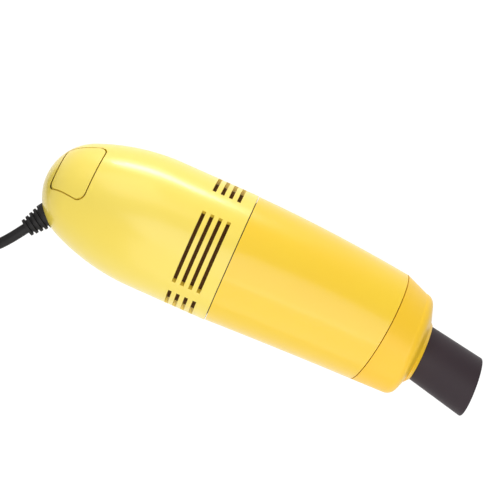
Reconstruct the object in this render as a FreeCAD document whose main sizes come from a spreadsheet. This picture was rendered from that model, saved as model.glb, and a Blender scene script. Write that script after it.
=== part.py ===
import FreeCAD, Part
import math
import os
import types
import Sketcher

# Desktop mini vacuum cleaner with a USB lead, in millimetres and degrees.
# The construction frame has x along the motor's axis, 0 at the seam between the motor housing
# and the dust cup and positive towards the nozzle, y across and z up, with the axis at y = z = 0.
# Each finished piece is then placed by its own Placement in the part's frame, which stands on
# the floor under the middle of the body.

Vector = FreeCAD.Vector
X_AXIS = Vector(1, 0, 0)
Y_AXIS = Vector(0, 1, 0)
Z_AXIS = Vector(0, 0, 1)

SIZES = {
    # motor housing
    "body_radius": 22.0,
    "motor_in_dome": 16.0,
    "dome_length": 39.0,
    "flank_radius": 72.0,
    "shell_wall": 2.0,
    "seam_gap": 0.3,
    "static_gap": 0.1,
    "moving_gap": 0.3,
    "running_gap": 0.04,
    # exhaust slots
    "slot_width": 1.25,
    "slot_pitch": 2.83,
    "first_slot_x": 5.15,
    "main_slot_span": 68.0,
    "side_slot_span": 35.0,
    "top_slot_turn": 6.5,
    "front_upper_slot_turn": 69.2,
    "front_lower_slot_turn": 110.8,
    "under_slot_turn": 186.5,
    "back_lower_slot_turn": 249.2,
    "back_upper_slot_turn": 291.2,
    # shell screws
    "boss_radius": 2.6,
    "front_boss_x": 26.0,
    "boss_side_gap": 3.7,
    "boss_clearance": 0.7,
    "rear_boss_y": 11.0,
    "screw_radius": 0.95,
    "screw_head_radius": 1.9,
    "screw_head_height": 1.4,
    "screw_seat_depth": 6.0,
    "screw_reach": 6.0,
    # power button
    "button_turn": 26.0,
    "button_setback": 23.0,
    "button_length": 12.5,
    "button_front_width": 22.0,
    "button_rear_width": 15.5,
    "button_corner": 2.2,
    "button_gap": 0.4,
    "button_cap_depth": 3.2,
    "button_lip": 0.8,
    "button_travel": 0.8,
    "button_stem_radius": 2.0,
    # push switch on its board
    "switch_setback": 5.0,
    "switch_side": 7.0,
    "switch_height": 4.4,
    "switch_wall": 0.8,
    "plunger_radius": 1.5,
    "plunger_foot_radius": 2.4,
    "plunger_foot_height": 0.9,
    "plunger_rise": 3.0,
    "spring_wire": 0.2,
    "board_depth": 20.0,
    "board_thickness": 1.6,
    "board_length": 8.5,
    "ledge_width": 5.0,
    "ledge_reach": 3.0,
    "ledge_height": 1.2,
    "opening_rise": 4.0,
    # motor
    "plate_x": 16.0,
    "plate_thickness": 2.0,
    "flange_depth": 0.9,
    "motor_radius": 12.2,
    "can_length": 22.0,
    "can_wall": 1.0,
    "end_cap_length": 3.0,
    "end_cap_plug": 1.5,
    "shaft_radius": 1.0,
    "bush_radius": 3.0,
    "bush_length": 2.5,
    "magnet_thickness": 1.8,
    "magnet_setback": 2.0,
    "brush_room": 4.0,
    "magnet_span": 140.0,
    "armature_margin": 1.5,
    "air_gap": 0.5,
    "armature_slot": 2.2,
    "commutator_radius": 2.8,
    "commutator_length": 4.5,
    "brush_width": 2.0,
    "terminal_length": 4.0,
    "terminal_width": 2.8,
    "terminal_thickness": 0.5,
    "terminal_offset": 7.0,
    "motor_screw_offset": 8.0,
    "motor_rib_setback": 16.0,
    "motor_rib_width": 2.0,
    # impeller
    "impeller_clearance": 4.6,
    "impeller_disc": 0.9,
    "impeller_disc_x": 12.7,
    "blade_height": 6.2,
    "blade_thickness": 0.9,
    "blade_inner_radius": 5.0,
    "blade_offset": 2.5,
    "impeller_hub_radius": 3.2,
    # bulkhead that carries the filter and the cup
    "bulkhead_x": 1.5,
    "bulkhead_thickness": 2.2,
    "inlet_radius": 8.0,
    "inlet_lip": 1.2,
    "inlet_lip_length": 1.6,
    "spigot_length": 5.5,
    "spigot_wall": 1.6,
    "seal_section": 0.5,
    "seal_x": 3.0,
    # filter
    "filter_ring_wall": 1.5,
    "filter_flange": 1.2,
    "filter_flange_inset": 1.0,
    "filter_length": 17.0,
    "filter_tip_radius": 11.0,
    "filter_tip_thickness": 1.4,
    "filter_rib": 1.4,
    "filter_rib_depth": 1.3,
    "cloth_thickness": 0.8,
    # dust cup
    "cup_wall": 1.8,
    "cup_step": 0.15,
    "cup_mid_taper": 1.0,
    "cup_taper": 2.5,
    "cup_length": 52.5,
    "cup_bore_depth": 8.0,
    "front_drop": 0.88,
    "front_slant": 6.4,
    "front_slant_turn": 38.7,
    # nose cap
    "nose_side_length": 10.1,
    "nose_taper": 1.8,
    "nose_shift": 1.43,
    "nose_corner_length": 3.1,
    "nose_corner_inset": 2.25,
    "nose_arc_radius": 3.4,
    "nose_face_length": 1.5,
    "nose_face_inset": 4.1,
    "nose_wall": 1.8,
    "nose_spigot_length": 5.0,
    "nose_spigot_wall": 1.5,
    # nozzle
    "nozzle_tilt": 10.6,
    "nozzle_pivot_x": 11.92,
    "nozzle_stand": 4.25,
    "mouth_turn": 3.0,
    "collar_wall": 1.1,
    "collar_flare": 1.3,
    "collar_rise": 1.2,
    "nozzle_plug_radius": 8.6,
    "nozzle_plug_length": 9.0,
    "nozzle_base_radius": 9.15,
    "nozzle_tip_radius": 9.8,
    "nozzle_length": 20.1,
    "nozzle_edge": 0.5,
    "nozzle_bore_radius": 7.2,
    "nozzle_mouth_radius": 8.0,
    "nozzle_mouth_depth": 14.0,
    # strain relief
    "relief_turn": 57.0,
    "relief_setback": 34.2,
    "relief_y": 12.2,
    "relief_radius": 4.2,
    "relief_tip_radius": 3.0,
    "relief_length": 7.2,
    "relief_foot": 0.6,
    "relief_groove": 0.7,
    "relief_flange": 0.7,
    "relief_flange_depth": 6.4,
    # lead
    "cord_diameter": 3.5,
    "wire_diameter": 1.2,
    "coil_turns_across": 3.0,
    "coil_turns_up": 3.0,
    "coil_mean_radius": 19.5,
    "coil_centre_x": 132.5,
    "coil_centre_y": 4.0,
    "tie_width": 6.0,
    "tie_thickness": 0.6,
    # plug on the lead
    "boot_length": 22.0,
    "boot_width": 15.7,
    "boot_height": 7.6,
    "boot_corner": 2.0,
    "boot_tail": 8.0,
    "boot_tail_radius": 3.1,
    "plug_width": 12.0,
    "plug_height": 4.5,
    "plug_length": 18.75,
    "plug_wall": 0.32,
    "tongue_height": 1.9,
    "contact_width": 1.0,
    "contact_pitch": 2.3,
    "contact_thickness": 0.2,
}

VENT_GROUPS = {
    "top": "main",
    "front_upper": "side",
    "front_lower": "side",
    "under": "main",
    "back_lower": "side",
    "back_upper": "side",
}
SLOTS_PER_GROUP = 4
IMPELLER_BLADES = 9
ARMATURE_POLES = 3
FILTER_RIBS = 6
RELIEF_RIBS = 4
SPRING_TURNS = 3
PLUG_CONTACTS = 4

doc = FreeCAD.newDocument("MiniVacuum")


class Size:
    """A length or angle: its value, and the expression that ties it to the sheet."""

    def __init__(self, value, text):
        self.value = float(value)
        self.text = text

    def __add__(self, other):
        other = as_size(other)
        return Size(self.value + other.value, f"({self.text} + {other.text})")

    def __sub__(self, other):
        other = as_size(other)
        return Size(self.value - other.value, f"({self.text} - {other.text})")

    def __mul__(self, other):
        other = as_size(other)
        return Size(self.value * other.value, f"({self.text} * {other.text})")

    def __truediv__(self, other):
        other = as_size(other)
        return Size(self.value / other.value, f"({self.text} / {other.text})")

    def __neg__(self):
        return Size(-self.value, f"(0 - {self.text})")


def as_size(number):
    """A plain number as a Size that isn't tied to anything."""
    return number if isinstance(number, Size) else Size(number, f"({float(number)!r})")


def cos(angle):
    return Size(math.cos(math.radians(angle.value)), f"cos({angle.text})")


def sin(angle):
    return Size(math.sin(math.radians(angle.value)), f"sin({angle.text})")


def make_sheet():
    """The sheet of driving dimensions, and the same names as Size values."""
    sheet = doc.addObject("Spreadsheet::Sheet", "Sizes")
    for row, (name, number) in enumerate(SIZES.items(), start=1):
        sheet.set(f"A{row}", name)
        sheet.set(f"B{row}", str(number))
        sheet.setAlias(f"B{row}", name)
    doc.recompute()
    named = {name: Size(sheet.get(name), f"Sizes.{name}") for name in SIZES}
    return types.SimpleNamespace(**named)


S = make_sheet()


# Helpers


def bind(thing, prop, size):
    """Sets a property to a size and ties it to the sheet."""
    size = as_size(size)
    setattr(thing, prop, size.value)
    if "Sizes." in size.text:
        thing.setExpression(prop, size.text)


def tie_placement(thing, prop, base, axis, angle):
    """Gives a placement property its place and turn, both tied to the sheet."""
    base = [as_size(value) for value in base]
    angle = as_size(angle)
    where = Vector(*[value.value for value in base])
    setattr(thing, prop, FreeCAD.Placement(where, FreeCAD.Rotation(axis, angle.value)))
    for name, value in zip("xyz", base):
        if "Sizes." in value.text:
            thing.setExpression(f"{prop}.Base.{name}", value.text)
    if "Sizes." in angle.text:
        thing.setExpression(f"{prop}.Rotation.Angle", angle.text)


def place(thing, x=0, y=0, z=0, axis=Z_AXIS, angle=0):
    tie_placement(thing, "Placement", (x, y, z), axis, angle)
    return thing


def new_body(name):
    return doc.addObject("PartDesign::Body", name)


def origin_feature(body, role):
    return next(item for item in body.Origin.OriginFeatures if item.Role == role)


def new_sketch(body, name, plane="XY_Plane", base=(0, 0, 0), axis=Z_AXIS, angle=0):
    """A sketch on one of the body's own origin planes, moved and turned within it."""
    sketch = body.newObject("Sketcher::SketchObject", name)
    sketch.AttachmentSupport = [(origin_feature(body, plane), "")]
    sketch.MapMode = "FlatFace"
    tie_placement(sketch, "AttachmentOffset", base, axis, angle)
    return sketch


def hold(sketch, kind, size, *where):
    """A dimension of the sketch, tied to the sheet."""
    number = sketch.addConstraint(Sketcher.Constraint(kind, *where, size.value))
    if "Sizes." in size.text:
        sketch.setExpression(f"Constraints[{number}]", size.text)


def arc_between(start, end, radius):
    """The arc from start to end: counter-clockwise for a positive radius, else clockwise."""
    chord = end - start
    middle = (start + end) / 2
    left = Vector(-chord.y, chord.x, 0).normalize()
    height = math.sqrt(max(radius * radius - (chord.Length / 2) ** 2, 0.0))
    centre = middle + left * (height if radius > 0 else -height)
    first, last = (start, end) if radius > 0 else (end, start)
    angles = [math.atan2(p.y - centre.y, p.x - centre.x) for p in (first, last)]
    circle = Part.Circle(centre, Z_AXIS, abs(radius))
    return Part.ArcOfCircle(circle, angles[0], angles[1])


def draw(sketch, path):
    """A closed outline. A step is (x, y), reached by a line from the step before it, or
    (x, y, radius), reached by an arc: counter-clockwise, or clockwise if radius is negative."""
    path = [[as_size(value) for value in step] for step in path]
    spots = [Vector(step[0].value, step[1].value, 0) for step in path]
    ends = []
    for index, step in enumerate(path):
        start, end = spots[index - 1], spots[index]
        if len(step) == 3:
            side = sketch.addGeometry(arc_between(start, end, step[2].value))
            forward = step[2].value > 0
            size = step[2] if forward else -step[2]
            hold(sketch, "Radius", size, side)
        else:
            side = sketch.addGeometry(Part.LineSegment(start, end))
            forward = True
        ends.append((side, 1, 2) if forward else (side, 2, 1))
    for index, step in enumerate(path):
        this, following = ends[index], ends[(index + 1) % len(path)]
        sketch.addConstraint(
            Sketcher.Constraint("Coincident", this[0], this[2], following[0], following[1])
        )
        hold(sketch, "DistanceX", step[0], -1, 1, this[0], this[2])
        hold(sketch, "DistanceY", step[1], -1, 1, this[0], this[2])


def draw_circle(sketch, radius, x=0, y=0):
    radius, x, y = as_size(radius), as_size(x), as_size(y)
    circle = sketch.addGeometry(Part.Circle(Vector(x.value, y.value, 0), Z_AXIS, radius.value))
    hold(sketch, "Radius", radius, circle)
    hold(sketch, "DistanceX", x, -1, 1, circle, 3)
    hold(sketch, "DistanceY", y, -1, 1, circle, 3)


def revolve(body, name, path, base=(0, 0, 0), axis=Z_AXIS, angle=0, cut=False):
    """Turns an outline of (x, radius) steps about the x axis of its own sketch."""
    sketch = new_sketch(body, name + "_outline", base=base, axis=axis, angle=angle)
    draw(sketch, path)
    kind = "PartDesign::Groove" if cut else "PartDesign::Revolution"
    feature = body.newObject(kind, name)
    feature.Profile = sketch
    feature.ReferenceAxis = (sketch, ["H_Axis"])
    feature.Angle = 360
    return feature


def turned(name, path):
    """A body of one turned outline."""
    body = new_body(name)
    revolve(body, name + "_turn", path)
    return body


def tube_path(x0, x1, inner, outer):
    return [(x0, inner), (x0, outer), (x1, outer), (x1, inner)]


def cylinder(name, radius, height, x=0, y=0, z=0, axis=Z_AXIS, angle=0):
    thing = doc.addObject("Part::Cylinder", name)
    bind(thing, "Radius", radius)
    bind(thing, "Height", height)
    return place(thing, x, y, z, axis, angle)


def box(name, length, width, height, x=0, y=0, z=0):
    """A box with its lowest corner at x, y, z."""
    thing = doc.addObject("Part::Box", name)
    bind(thing, "Length", length)
    bind(thing, "Width", width)
    bind(thing, "Height", height)
    return place(thing, x, y, z)


def fuse(name, shapes):
    thing = doc.addObject("Part::MultiFuse", name)
    thing.Shapes = shapes
    return thing


def common(name, first, second):
    thing = doc.addObject("Part::Common", name)
    thing.Base = first
    thing.Tool = second
    return thing


def cut(name, base, tool):
    thing = doc.addObject("Part::Cut", name)
    thing.Base = base
    thing.Tool = tool
    return thing


def group(name, shapes):
    thing = doc.addObject("Part::Compound", name)
    thing.Links = shapes
    return thing


def loft(body, name, sections, cut_away=False):
    kind = "PartDesign::SubtractiveLoft" if cut_away else "PartDesign::AdditiveLoft"
    feature = body.newObject(kind, name)
    feature.Profile = sections[0]
    feature.Sections = sections[1:]
    return feature


def rectangle(half_width, half_height, y=0, z=0):
    y, z = as_size(y), as_size(z)
    return [
        (y - half_width, z - half_height), (y + half_width, z - half_height),
        (y + half_width, z + half_height), (y - half_width, z + half_height)]


def bar(body, name, start, length, outline, cut_away=False):
    """A straight bar along x with that outline in y and z."""
    sketch = new_sketch(body, name + "_outline", "YZ_Plane", (0, 0, start))
    draw(sketch, outline)
    feature = body.newObject("PartDesign::Pocket" if cut_away else "PartDesign::Pad", name)
    feature.Profile = sketch
    bind(feature, "Length", length)
    return feature


def spread(body, feature, count):
    """Repeats a feature round the x axis of its body."""
    doc.recompute()
    ring = body.newObject("PartDesign::PolarPattern", feature.Name + "s")
    ring.Originals = [feature]
    ring.Axis = (origin_feature(body, "X_Axis"), [""])
    ring.Occurrences = count
    ring.Angle = 360
    body.Tip = ring


def round_path(points, share=0.45):
    """Straight runs through the points, joined by tangent arcs, and the arcs' radii."""
    edges, radii = [], []
    start = points[0]
    for before, corner, after in zip(points, points[1:], points[2:]):
        back, ahead = before - corner, after - corner
        half_turn = (math.pi - back.getAngle(ahead)) / 2
        trim = share * min(back.Length, ahead.Length)
        radii.append(trim / math.tan(half_turn))
        back.normalize()
        ahead.normalize()
        arc_start, arc_end = corner + back * trim, corner + ahead * trim
        inward = (back + ahead).normalize()
        rise = radii[-1] * (1 / math.cos(half_turn) - 1)
        edges.append(Part.LineSegment(start, arc_start).toShape())
        edges.append(Part.Arc(arc_start, corner + inward * rise, arc_end).toShape())
        start = arc_end
    edges.append(Part.LineSegment(start, points[-1]).toShape())
    return Part.Wire(edges), radii


def tube(name, points, diameter):
    """A round tube along rounded runs through the points, as one plain solid."""
    wire, radii = round_path([Vector(*point) for point in points])
    first = wire.Edges[0]
    start, heading = first.valueAt(first.FirstParameter), first.tangentAt(first.FirstParameter)
    ring = Part.Wire(Part.makeCircle(diameter / 2, start, heading))
    shape = wire.makePipeShell([ring], True, False)
    section = math.pi * diameter * diameter / 4
    print(f"{name}: length {wire.Length:.1f}, smallest bend radius {min(radii):.1f},",
          f"volume share {shape.Volume / (section * wire.Length):.4f}")
    thing = doc.addObject("Part::Feature", name)
    thing.Shape = shape
    return thing


# Sizes and places that several pieces share

motor_front = S.plate_x + S.plate_thickness
motor_rear = motor_front + S.can_length + S.end_cap_length
barrel_length = motor_rear - S.motor_in_dome
inner_radius = S.body_radius - S.shell_wall
rear_x = -(barrel_length + S.dome_length)
button_front_x = barrel_length + S.button_setback
switch_x = button_front_x + S.switch_setback
board_height = S.body_radius - S.board_depth
cap_bottom = board_height + S.opening_rise
relief_x = barrel_length + S.relief_setback
cup_rear_radius = S.body_radius - S.cup_step
cup_front_radius = cup_rear_radius - S.cup_taper
nose_side_radius = cup_front_radius - S.nose_taper
nose_corner_radius = nose_side_radius - S.nose_corner_inset
dome_run = S.flank_radius - S.dome_length
dome_rise = S.flank_radius - S.body_radius
dome_nose_radius = (
    S.flank_radius * S.flank_radius - S.dome_length * S.dome_length - dome_rise * dome_rise
) / (dome_run * 2)
dome_nose_x = rear_x + dome_nose_radius

# The front seam leans: its plane is turned by the front slant about this axis.
slant_turn = math.radians(S.front_slant_turn.value)
SLANT_AXIS = Vector(0, math.sin(slant_turn), -math.cos(slant_turn))
SLANT_AXIS_IN_RING = Vector(SLANT_AXIS.y, SLANT_AXIS.z, 0)

# The nose cap's frame stands at the middle of the front seam. The nozzle's axis passes through
# the pivot inside the nose cap and leans to one side by the nozzle's tilt.
nose_base_x = S.cup_length
nose_base_y = -S.front_drop
nozzle_in_nose_x = S.nozzle_pivot_x + S.nozzle_stand * cos(S.nozzle_tilt)
nozzle_in_nose_y = -S.nose_shift - S.nozzle_stand * sin(S.nozzle_tilt)
nozzle_base_x = nose_base_x + nozzle_in_nose_x
nozzle_base_y = nose_base_y + nozzle_in_nose_y
# The mouth is cut across, so that its edge on the strain relief's side leads.
mouth_lead = (S.nozzle_tip_radius - S.nozzle_edge) * sin(S.mouth_turn) / cos(S.nozzle_tilt + S.mouth_turn)
front_x = nozzle_base_x + S.nozzle_length * cos(S.nozzle_tilt) + mouth_lead

# From the construction frame to the part's frame.
shift_x = -(front_x + rear_x) / 2
shift_z = S.body_radius

NODES = []


def keep(name, thing, x=0, y=0, z=0, axis=Z_AXIS, angle=0):
    """Makes an object the node of that name, placed in the part's frame."""
    thing.Label = name
    place(thing, shift_x + x, as_size(y), shift_z + z, axis, angle)
    NODES.append(thing)
    return thing


def keep_as_placed(name, thing):
    """Makes an object that is drawn in the part's frame the node of that name."""
    thing.Label = name
    NODES.append(thing)
    return thing


# Motor housing


def dome(name, depth, front):
    """The housing's outline, turned, that far inside its outer surface."""
    nose = dome_nose_radius - depth
    flank = S.flank_radius - depth
    reach = S.flank_radius - dome_nose_radius
    meet_x = dome_nose_x - nose * (-barrel_length - dome_nose_x) / reach
    meet_r = nose * dome_rise / reach
    return turned(
        name,
        [
            (dome_nose_x - nose, 0),
            (meet_x, meet_r, -nose),
            (-barrel_length, S.body_radius - depth, -flank),
            (front, S.body_radius - depth),
            (front, 0),
        ],
    )


def vent_slots():
    """Groups of slots round the fan chamber, each slot a wedge across the wall."""
    slots = []
    for side, kind in VENT_GROUPS.items():
        middle = getattr(S, f"{side}_slot_turn").value
        span = getattr(S, f"{kind}_slot_span")
        for index in range(SLOTS_PER_GROUP):
            slot = doc.addObject("Part::Cylinder", f"{side}_slot_{index}")
            bind(slot, "Radius", S.body_radius + 1)
            bind(slot, "Height", S.slot_width)
            bind(slot, "Angle", span)
            x = -S.first_slot_x - S.slot_pitch * index - S.slot_width / 2
            along_x = FreeCAD.Rotation(Y_AXIS, 90)
            roll = FreeCAD.Rotation(X_AXIS, middle - span.value / 2 + 180)
            slot.Placement = FreeCAD.Placement(Vector(x.value, 0, 0), roll * along_x)
            slot.setExpression("Placement.Base.x", x.text)
            slots.append(slot)
    return slots


def boss_spots():
    """Where the three screws stand, as (x, y) from the axis."""
    side = inner_radius - S.boss_side_gap
    return [
        (-S.front_boss_x, side),
        (-S.front_boss_x, -side),
        (-(motor_rear + S.boss_radius + S.boss_clearance), S.rear_boss_y),
    ]


def button_prism(name, inset, bottom):
    """The button's outline, that far inside the opening's edge, as a tall prism."""
    body = new_body(name)
    sketch = new_sketch(body, name + "_outline", base=(0, 0, bottom))
    front = -button_front_x - inset
    rear = -button_front_x - S.button_length + inset
    half_front = S.button_front_width / 2 - inset
    half_rear = S.button_rear_width / 2 - inset
    draw(
        sketch,
        [(front, half_front), (rear, half_rear), (rear, -half_rear), (front, -half_front)],
    )
    pad = body.newObject("PartDesign::Pad", name + "_pad")
    pad.Profile = sketch
    bind(pad, "Length", S.body_radius * 2)
    doc.recompute()
    upright = [
        f"Edge{number}"
        for number, edge in enumerate(pad.Shape.Edges, start=1)
        if abs(edge.tangentAt(edge.FirstParameter).z) > 0.99
    ]
    corner = body.newObject("PartDesign::Fillet", name + "_corner")
    corner.Base = (pad, upright)
    bind(corner, "Radius", S.button_corner)
    return place(body, axis=-X_AXIS, angle=S.button_turn)


def in_button_frame(thing):
    """Turns a piece drawn about z so that it points at the middle of the button."""
    x, y, z = thing.Placement.Base
    ties = dict(thing.ExpressionEngine)
    depth = ties.get("Placement.Base.z", repr(z))
    side = ties.get("Placement.Base.y", repr(y))
    turn = S.button_turn
    thing.Placement = FreeCAD.Placement(
        Vector(x, y * cos(turn).value + z * sin(turn).value,
               z * cos(turn).value - y * sin(turn).value),
        FreeCAD.Rotation(-X_AXIS, turn.value),
    )
    thing.setExpression("Placement.Base.y", f"({side}) * cos({turn.text}) + ({depth}) * sin({turn.text})")
    thing.setExpression("Placement.Base.z", f"({depth}) * cos({turn.text}) - ({side}) * sin({turn.text})")
    thing.setExpression("Placement.Rotation.Angle", turn.text)
    return thing


def plane_groove(name, x, thickness):
    """The groove in the wall that holds a round plate between x and x - thickness."""
    return turned(
        name,
        tube_path(
            x - thickness - S.static_gap,
            x + S.static_gap,
            inner_radius - 1,
            inner_radius + S.flange_depth + S.static_gap,
        ),
    )


def relief_frame(thing):
    """Puts a piece turned about x on the strain relief's axis."""
    return place(thing, -relief_x, -S.relief_y, 0, -Z_AXIS, as_size(180) - S.relief_turn)


def board_ledges():
    """Two ledges that carry the switch board's ends, one in each shell."""
    ledges = []
    reach = inner_radius - S.ledge_reach - 3
    for side in (1, -1):
        y = reach if side > 0 else -reach - S.ledge_reach * 3
        ledge = box(
            f"board_ledge_{side + 1}",
            S.ledge_width,
            S.ledge_reach * 3,
            S.ledge_height,
            -switch_x - S.ledge_width / 2,
            y,
            board_height - S.ledge_height - S.static_gap,
        )
        ledges.append(in_button_frame(ledge))
    return ledges


def make_shells():
    outer = dome("housing_outside", as_size(0), -S.seam_gap / 2)
    cavity = dome("housing_inside", S.shell_wall, S.seam_gap + 1)
    bed = dome("housing_bed", S.shell_wall / 2, -S.seam_gap)
    skin = cut("housing_skin", outer, cavity)

    height = S.body_radius * 2
    columns = [
        cylinder(f"boss_{number}", S.boss_radius, height, x, y, -S.body_radius)
        for number, (x, y) in enumerate(boss_spots())
    ]
    rib = turned(
        "motor_rib",
        tube_path(
            -motor_front - S.motor_rib_setback - S.motor_rib_width,
            -motor_front - S.motor_rib_setback,
            S.motor_radius + S.static_gap,
            inner_radius + S.shell_wall / 4,
        ),
    )
    inside = common("housing_inside_work", fuse("inside_work", [*columns, rib, *board_ledges()]), bed)
    whole = fuse("housing_whole", [skin, inside])

    cutters = [
        *vent_slots(),
        button_prism("button_opening", as_size(0), cap_bottom - S.button_travel - S.moving_gap),
        plane_groove("bulkhead_groove", -S.bulkhead_x, S.bulkhead_thickness),
        plane_groove("plate_groove", -S.plate_x, S.plate_thickness),
        relief_frame(
            turned(
                "relief_hole",
                [
                    (-S.relief_flange_depth, 0),
                    (-S.relief_flange_depth, S.relief_radius + S.static_gap),
                    (S.relief_length, S.relief_radius + S.static_gap),
                    (S.relief_length, 0),
                ],
            )
        ),
    ]
    for number, (x, y) in enumerate(boss_spots()):
        clear = S.screw_radius + S.static_gap / 2
        cutters.append(
            cylinder(
                f"screw_hole_{number}",
                clear,
                S.screw_seat_depth + S.screw_reach + 1,
                x,
                y,
                -S.screw_seat_depth,
            )
        )
        cutters.append(
            cylinder(
                f"screw_well_{number}",
                S.screw_head_radius + S.static_gap * 2,
                S.body_radius,
                x,
                y,
                -S.screw_seat_depth - S.body_radius,
            )
        )
    worked = cut("housing_worked", whole, group("housing_cutters", cutters))

    length = barrel_length + S.dome_length + 4
    for name, z in (("upper_shell", as_size(0)), ("lower_shell", -S.body_radius - 2)):
        half = box(
            name + "_half",
            length,
            S.body_radius * 2 + 4,
            S.body_radius + 2,
            rear_x - 2,
            -S.body_radius - 2,
            z,
        )
        keep(name, common(name, worked, half))


def shell_screw(name, x, y):
    """A pan-head screw standing in its well, its head under the lower boss."""
    seat = -S.screw_seat_depth
    head = cylinder(
        name + "_head", S.screw_head_radius, S.screw_head_height, x, y, seat - S.screw_head_height
    )
    shank = cylinder(name + "_shank", S.screw_radius, S.screw_seat_depth + S.screw_reach, x, y, seat)
    slot = box(
        name + "_slot",
        S.screw_head_radius * 1.2,
        S.screw_head_height / 3,
        S.screw_head_height / 2,
        x - S.screw_head_radius * 0.6,
        y - S.screw_head_height / 6,
        seat - S.screw_head_height,
    )
    return cut(name, fuse(name + "_blank", [head, shank]), slot)


def make_shell_screws():
    screws = [shell_screw(f"shell_screw_{n}", x, y) for n, (x, y) in enumerate(boss_spots())]
    keep("shell_screws", group("shell_screws", screws))


# Power button and its switch


def make_button():
    outer = dome("cap_outside", as_size(0), as_size(0))
    under = dome("cap_inside", S.button_cap_depth, as_size(0))
    lip_top = dome("lip_outside", S.shell_wall + S.moving_gap, as_size(0))
    cap_prism = button_prism("cap_prism", S.button_gap, cap_bottom)
    lip_prism = button_prism("lip_prism", -S.button_lip, cap_bottom)
    cap = common("cap_form", cut("cap_skin", outer, under), cap_prism)
    lip = common("lip_form", cut("lip_skin", lip_top, under), lip_prism)
    plunger_top = board_height + S.board_thickness + S.switch_height + S.plunger_rise
    stem_rod = cylinder(
        "stem_rod", S.button_stem_radius, S.body_radius, -switch_x, 0, plunger_top + S.running_gap
    )
    stem = common("stem_form", in_button_frame(stem_rod), dome("stem_limit", S.shell_wall, as_size(0)))
    keep("power_button", fuse("power_button", [cap, lip, stem]))


def make_switch():
    base = board_height + S.board_thickness
    half = S.switch_side / 2
    block = box("switch_block", S.switch_side, S.switch_side, S.switch_height,
                -switch_x - half, -half, base)
    well = cylinder("switch_well", S.plunger_foot_radius + S.moving_gap,
                    S.switch_height - S.switch_wall * 2, -switch_x, 0, base + S.switch_wall)
    neck = cylinder("switch_neck", S.plunger_radius + S.running_gap * 2,
                    S.switch_height, -switch_x, 0, base + S.switch_wall * 2)
    pieces = [in_button_frame(thing) for thing in (block, well, neck)]
    keep("switch_body", cut("switch_body", pieces[0], group("switch_hollow", pieces[1:])))

    foot_top = base + S.switch_height - S.switch_wall - S.static_gap
    foot = cylinder("plunger_foot", S.plunger_foot_radius, S.plunger_foot_height,
                    -switch_x, 0, foot_top - S.plunger_foot_height)
    rod = cylinder("plunger_rod", S.plunger_radius,
                   S.plunger_rise + S.switch_wall + S.static_gap, -switch_x, 0, foot_top)
    keep("switch_plunger", fuse("switch_plunger", [in_button_frame(foot), in_button_frame(rod)]))

    spring_base = base + S.switch_wall + S.static_gap
    spring_top = foot_top - S.plunger_foot_height - S.static_gap
    turns = []
    for turn in range(SPRING_TURNS):
        share = turn / (SPRING_TURNS - 1)
        rise = spring_base + S.spring_wire / 2
        rise = rise + (spring_top - spring_base - S.spring_wire) * share
        ring = doc.addObject("Part::Torus", f"spring_turn_{turn}")
        bind(ring, "Radius1", S.plunger_radius + S.spring_wire / 2)
        bind(ring, "Radius2", S.spring_wire / 2)
        turns.append(in_button_frame(place(ring, -switch_x, 0, rise)))
    keep("switch_spring", group("switch_spring", turns))

    board_box = box("board_blank", S.board_length, S.body_radius * 2, S.board_thickness,
                    -switch_x - S.board_length / 2, -S.body_radius, board_height)
    limit = dome("board_limit", S.shell_wall + S.static_gap, as_size(0))
    keep("switch_board", common("switch_board", in_button_frame(board_box), limit))


# Strain relief


def make_relief():
    steps = [(-S.relief_flange_depth, 0), (-S.relief_flange_depth, S.relief_radius)]
    steps += [(S.relief_foot, S.relief_radius)]
    rib_room = (S.relief_length - S.relief_foot) / RELIEF_RIBS
    taper = (S.relief_radius - S.relief_tip_radius) / RELIEF_RIBS
    for index in range(RELIEF_RIBS):
        x = S.relief_foot + rib_room * index
        radius = S.relief_radius - taper * (index + 1)
        steps += [
            (x, radius - S.relief_groove),
            (x + rib_room * 0.4, radius - S.relief_groove),
            (x + rib_room * 0.5, radius),
            (x + rib_room, radius),
        ]
    steps += [(S.relief_length, 0)]
    stem = relief_frame(turned("relief_stem", steps))
    flange = relief_frame(
        turned(
            "relief_flange_blank",
            [
                (-S.relief_flange_depth, 0),
                (-S.relief_flange_depth, S.relief_radius + S.relief_flange),
                (0, S.relief_radius + S.relief_flange),
                (0, 0),
            ],
        )
    )
    limit = dome("relief_limit", S.shell_wall + S.static_gap, as_size(0))
    keep("strain_relief", fuse("strain_relief", [stem, common("relief_seat", flange, limit)]))


# Motor


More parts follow.
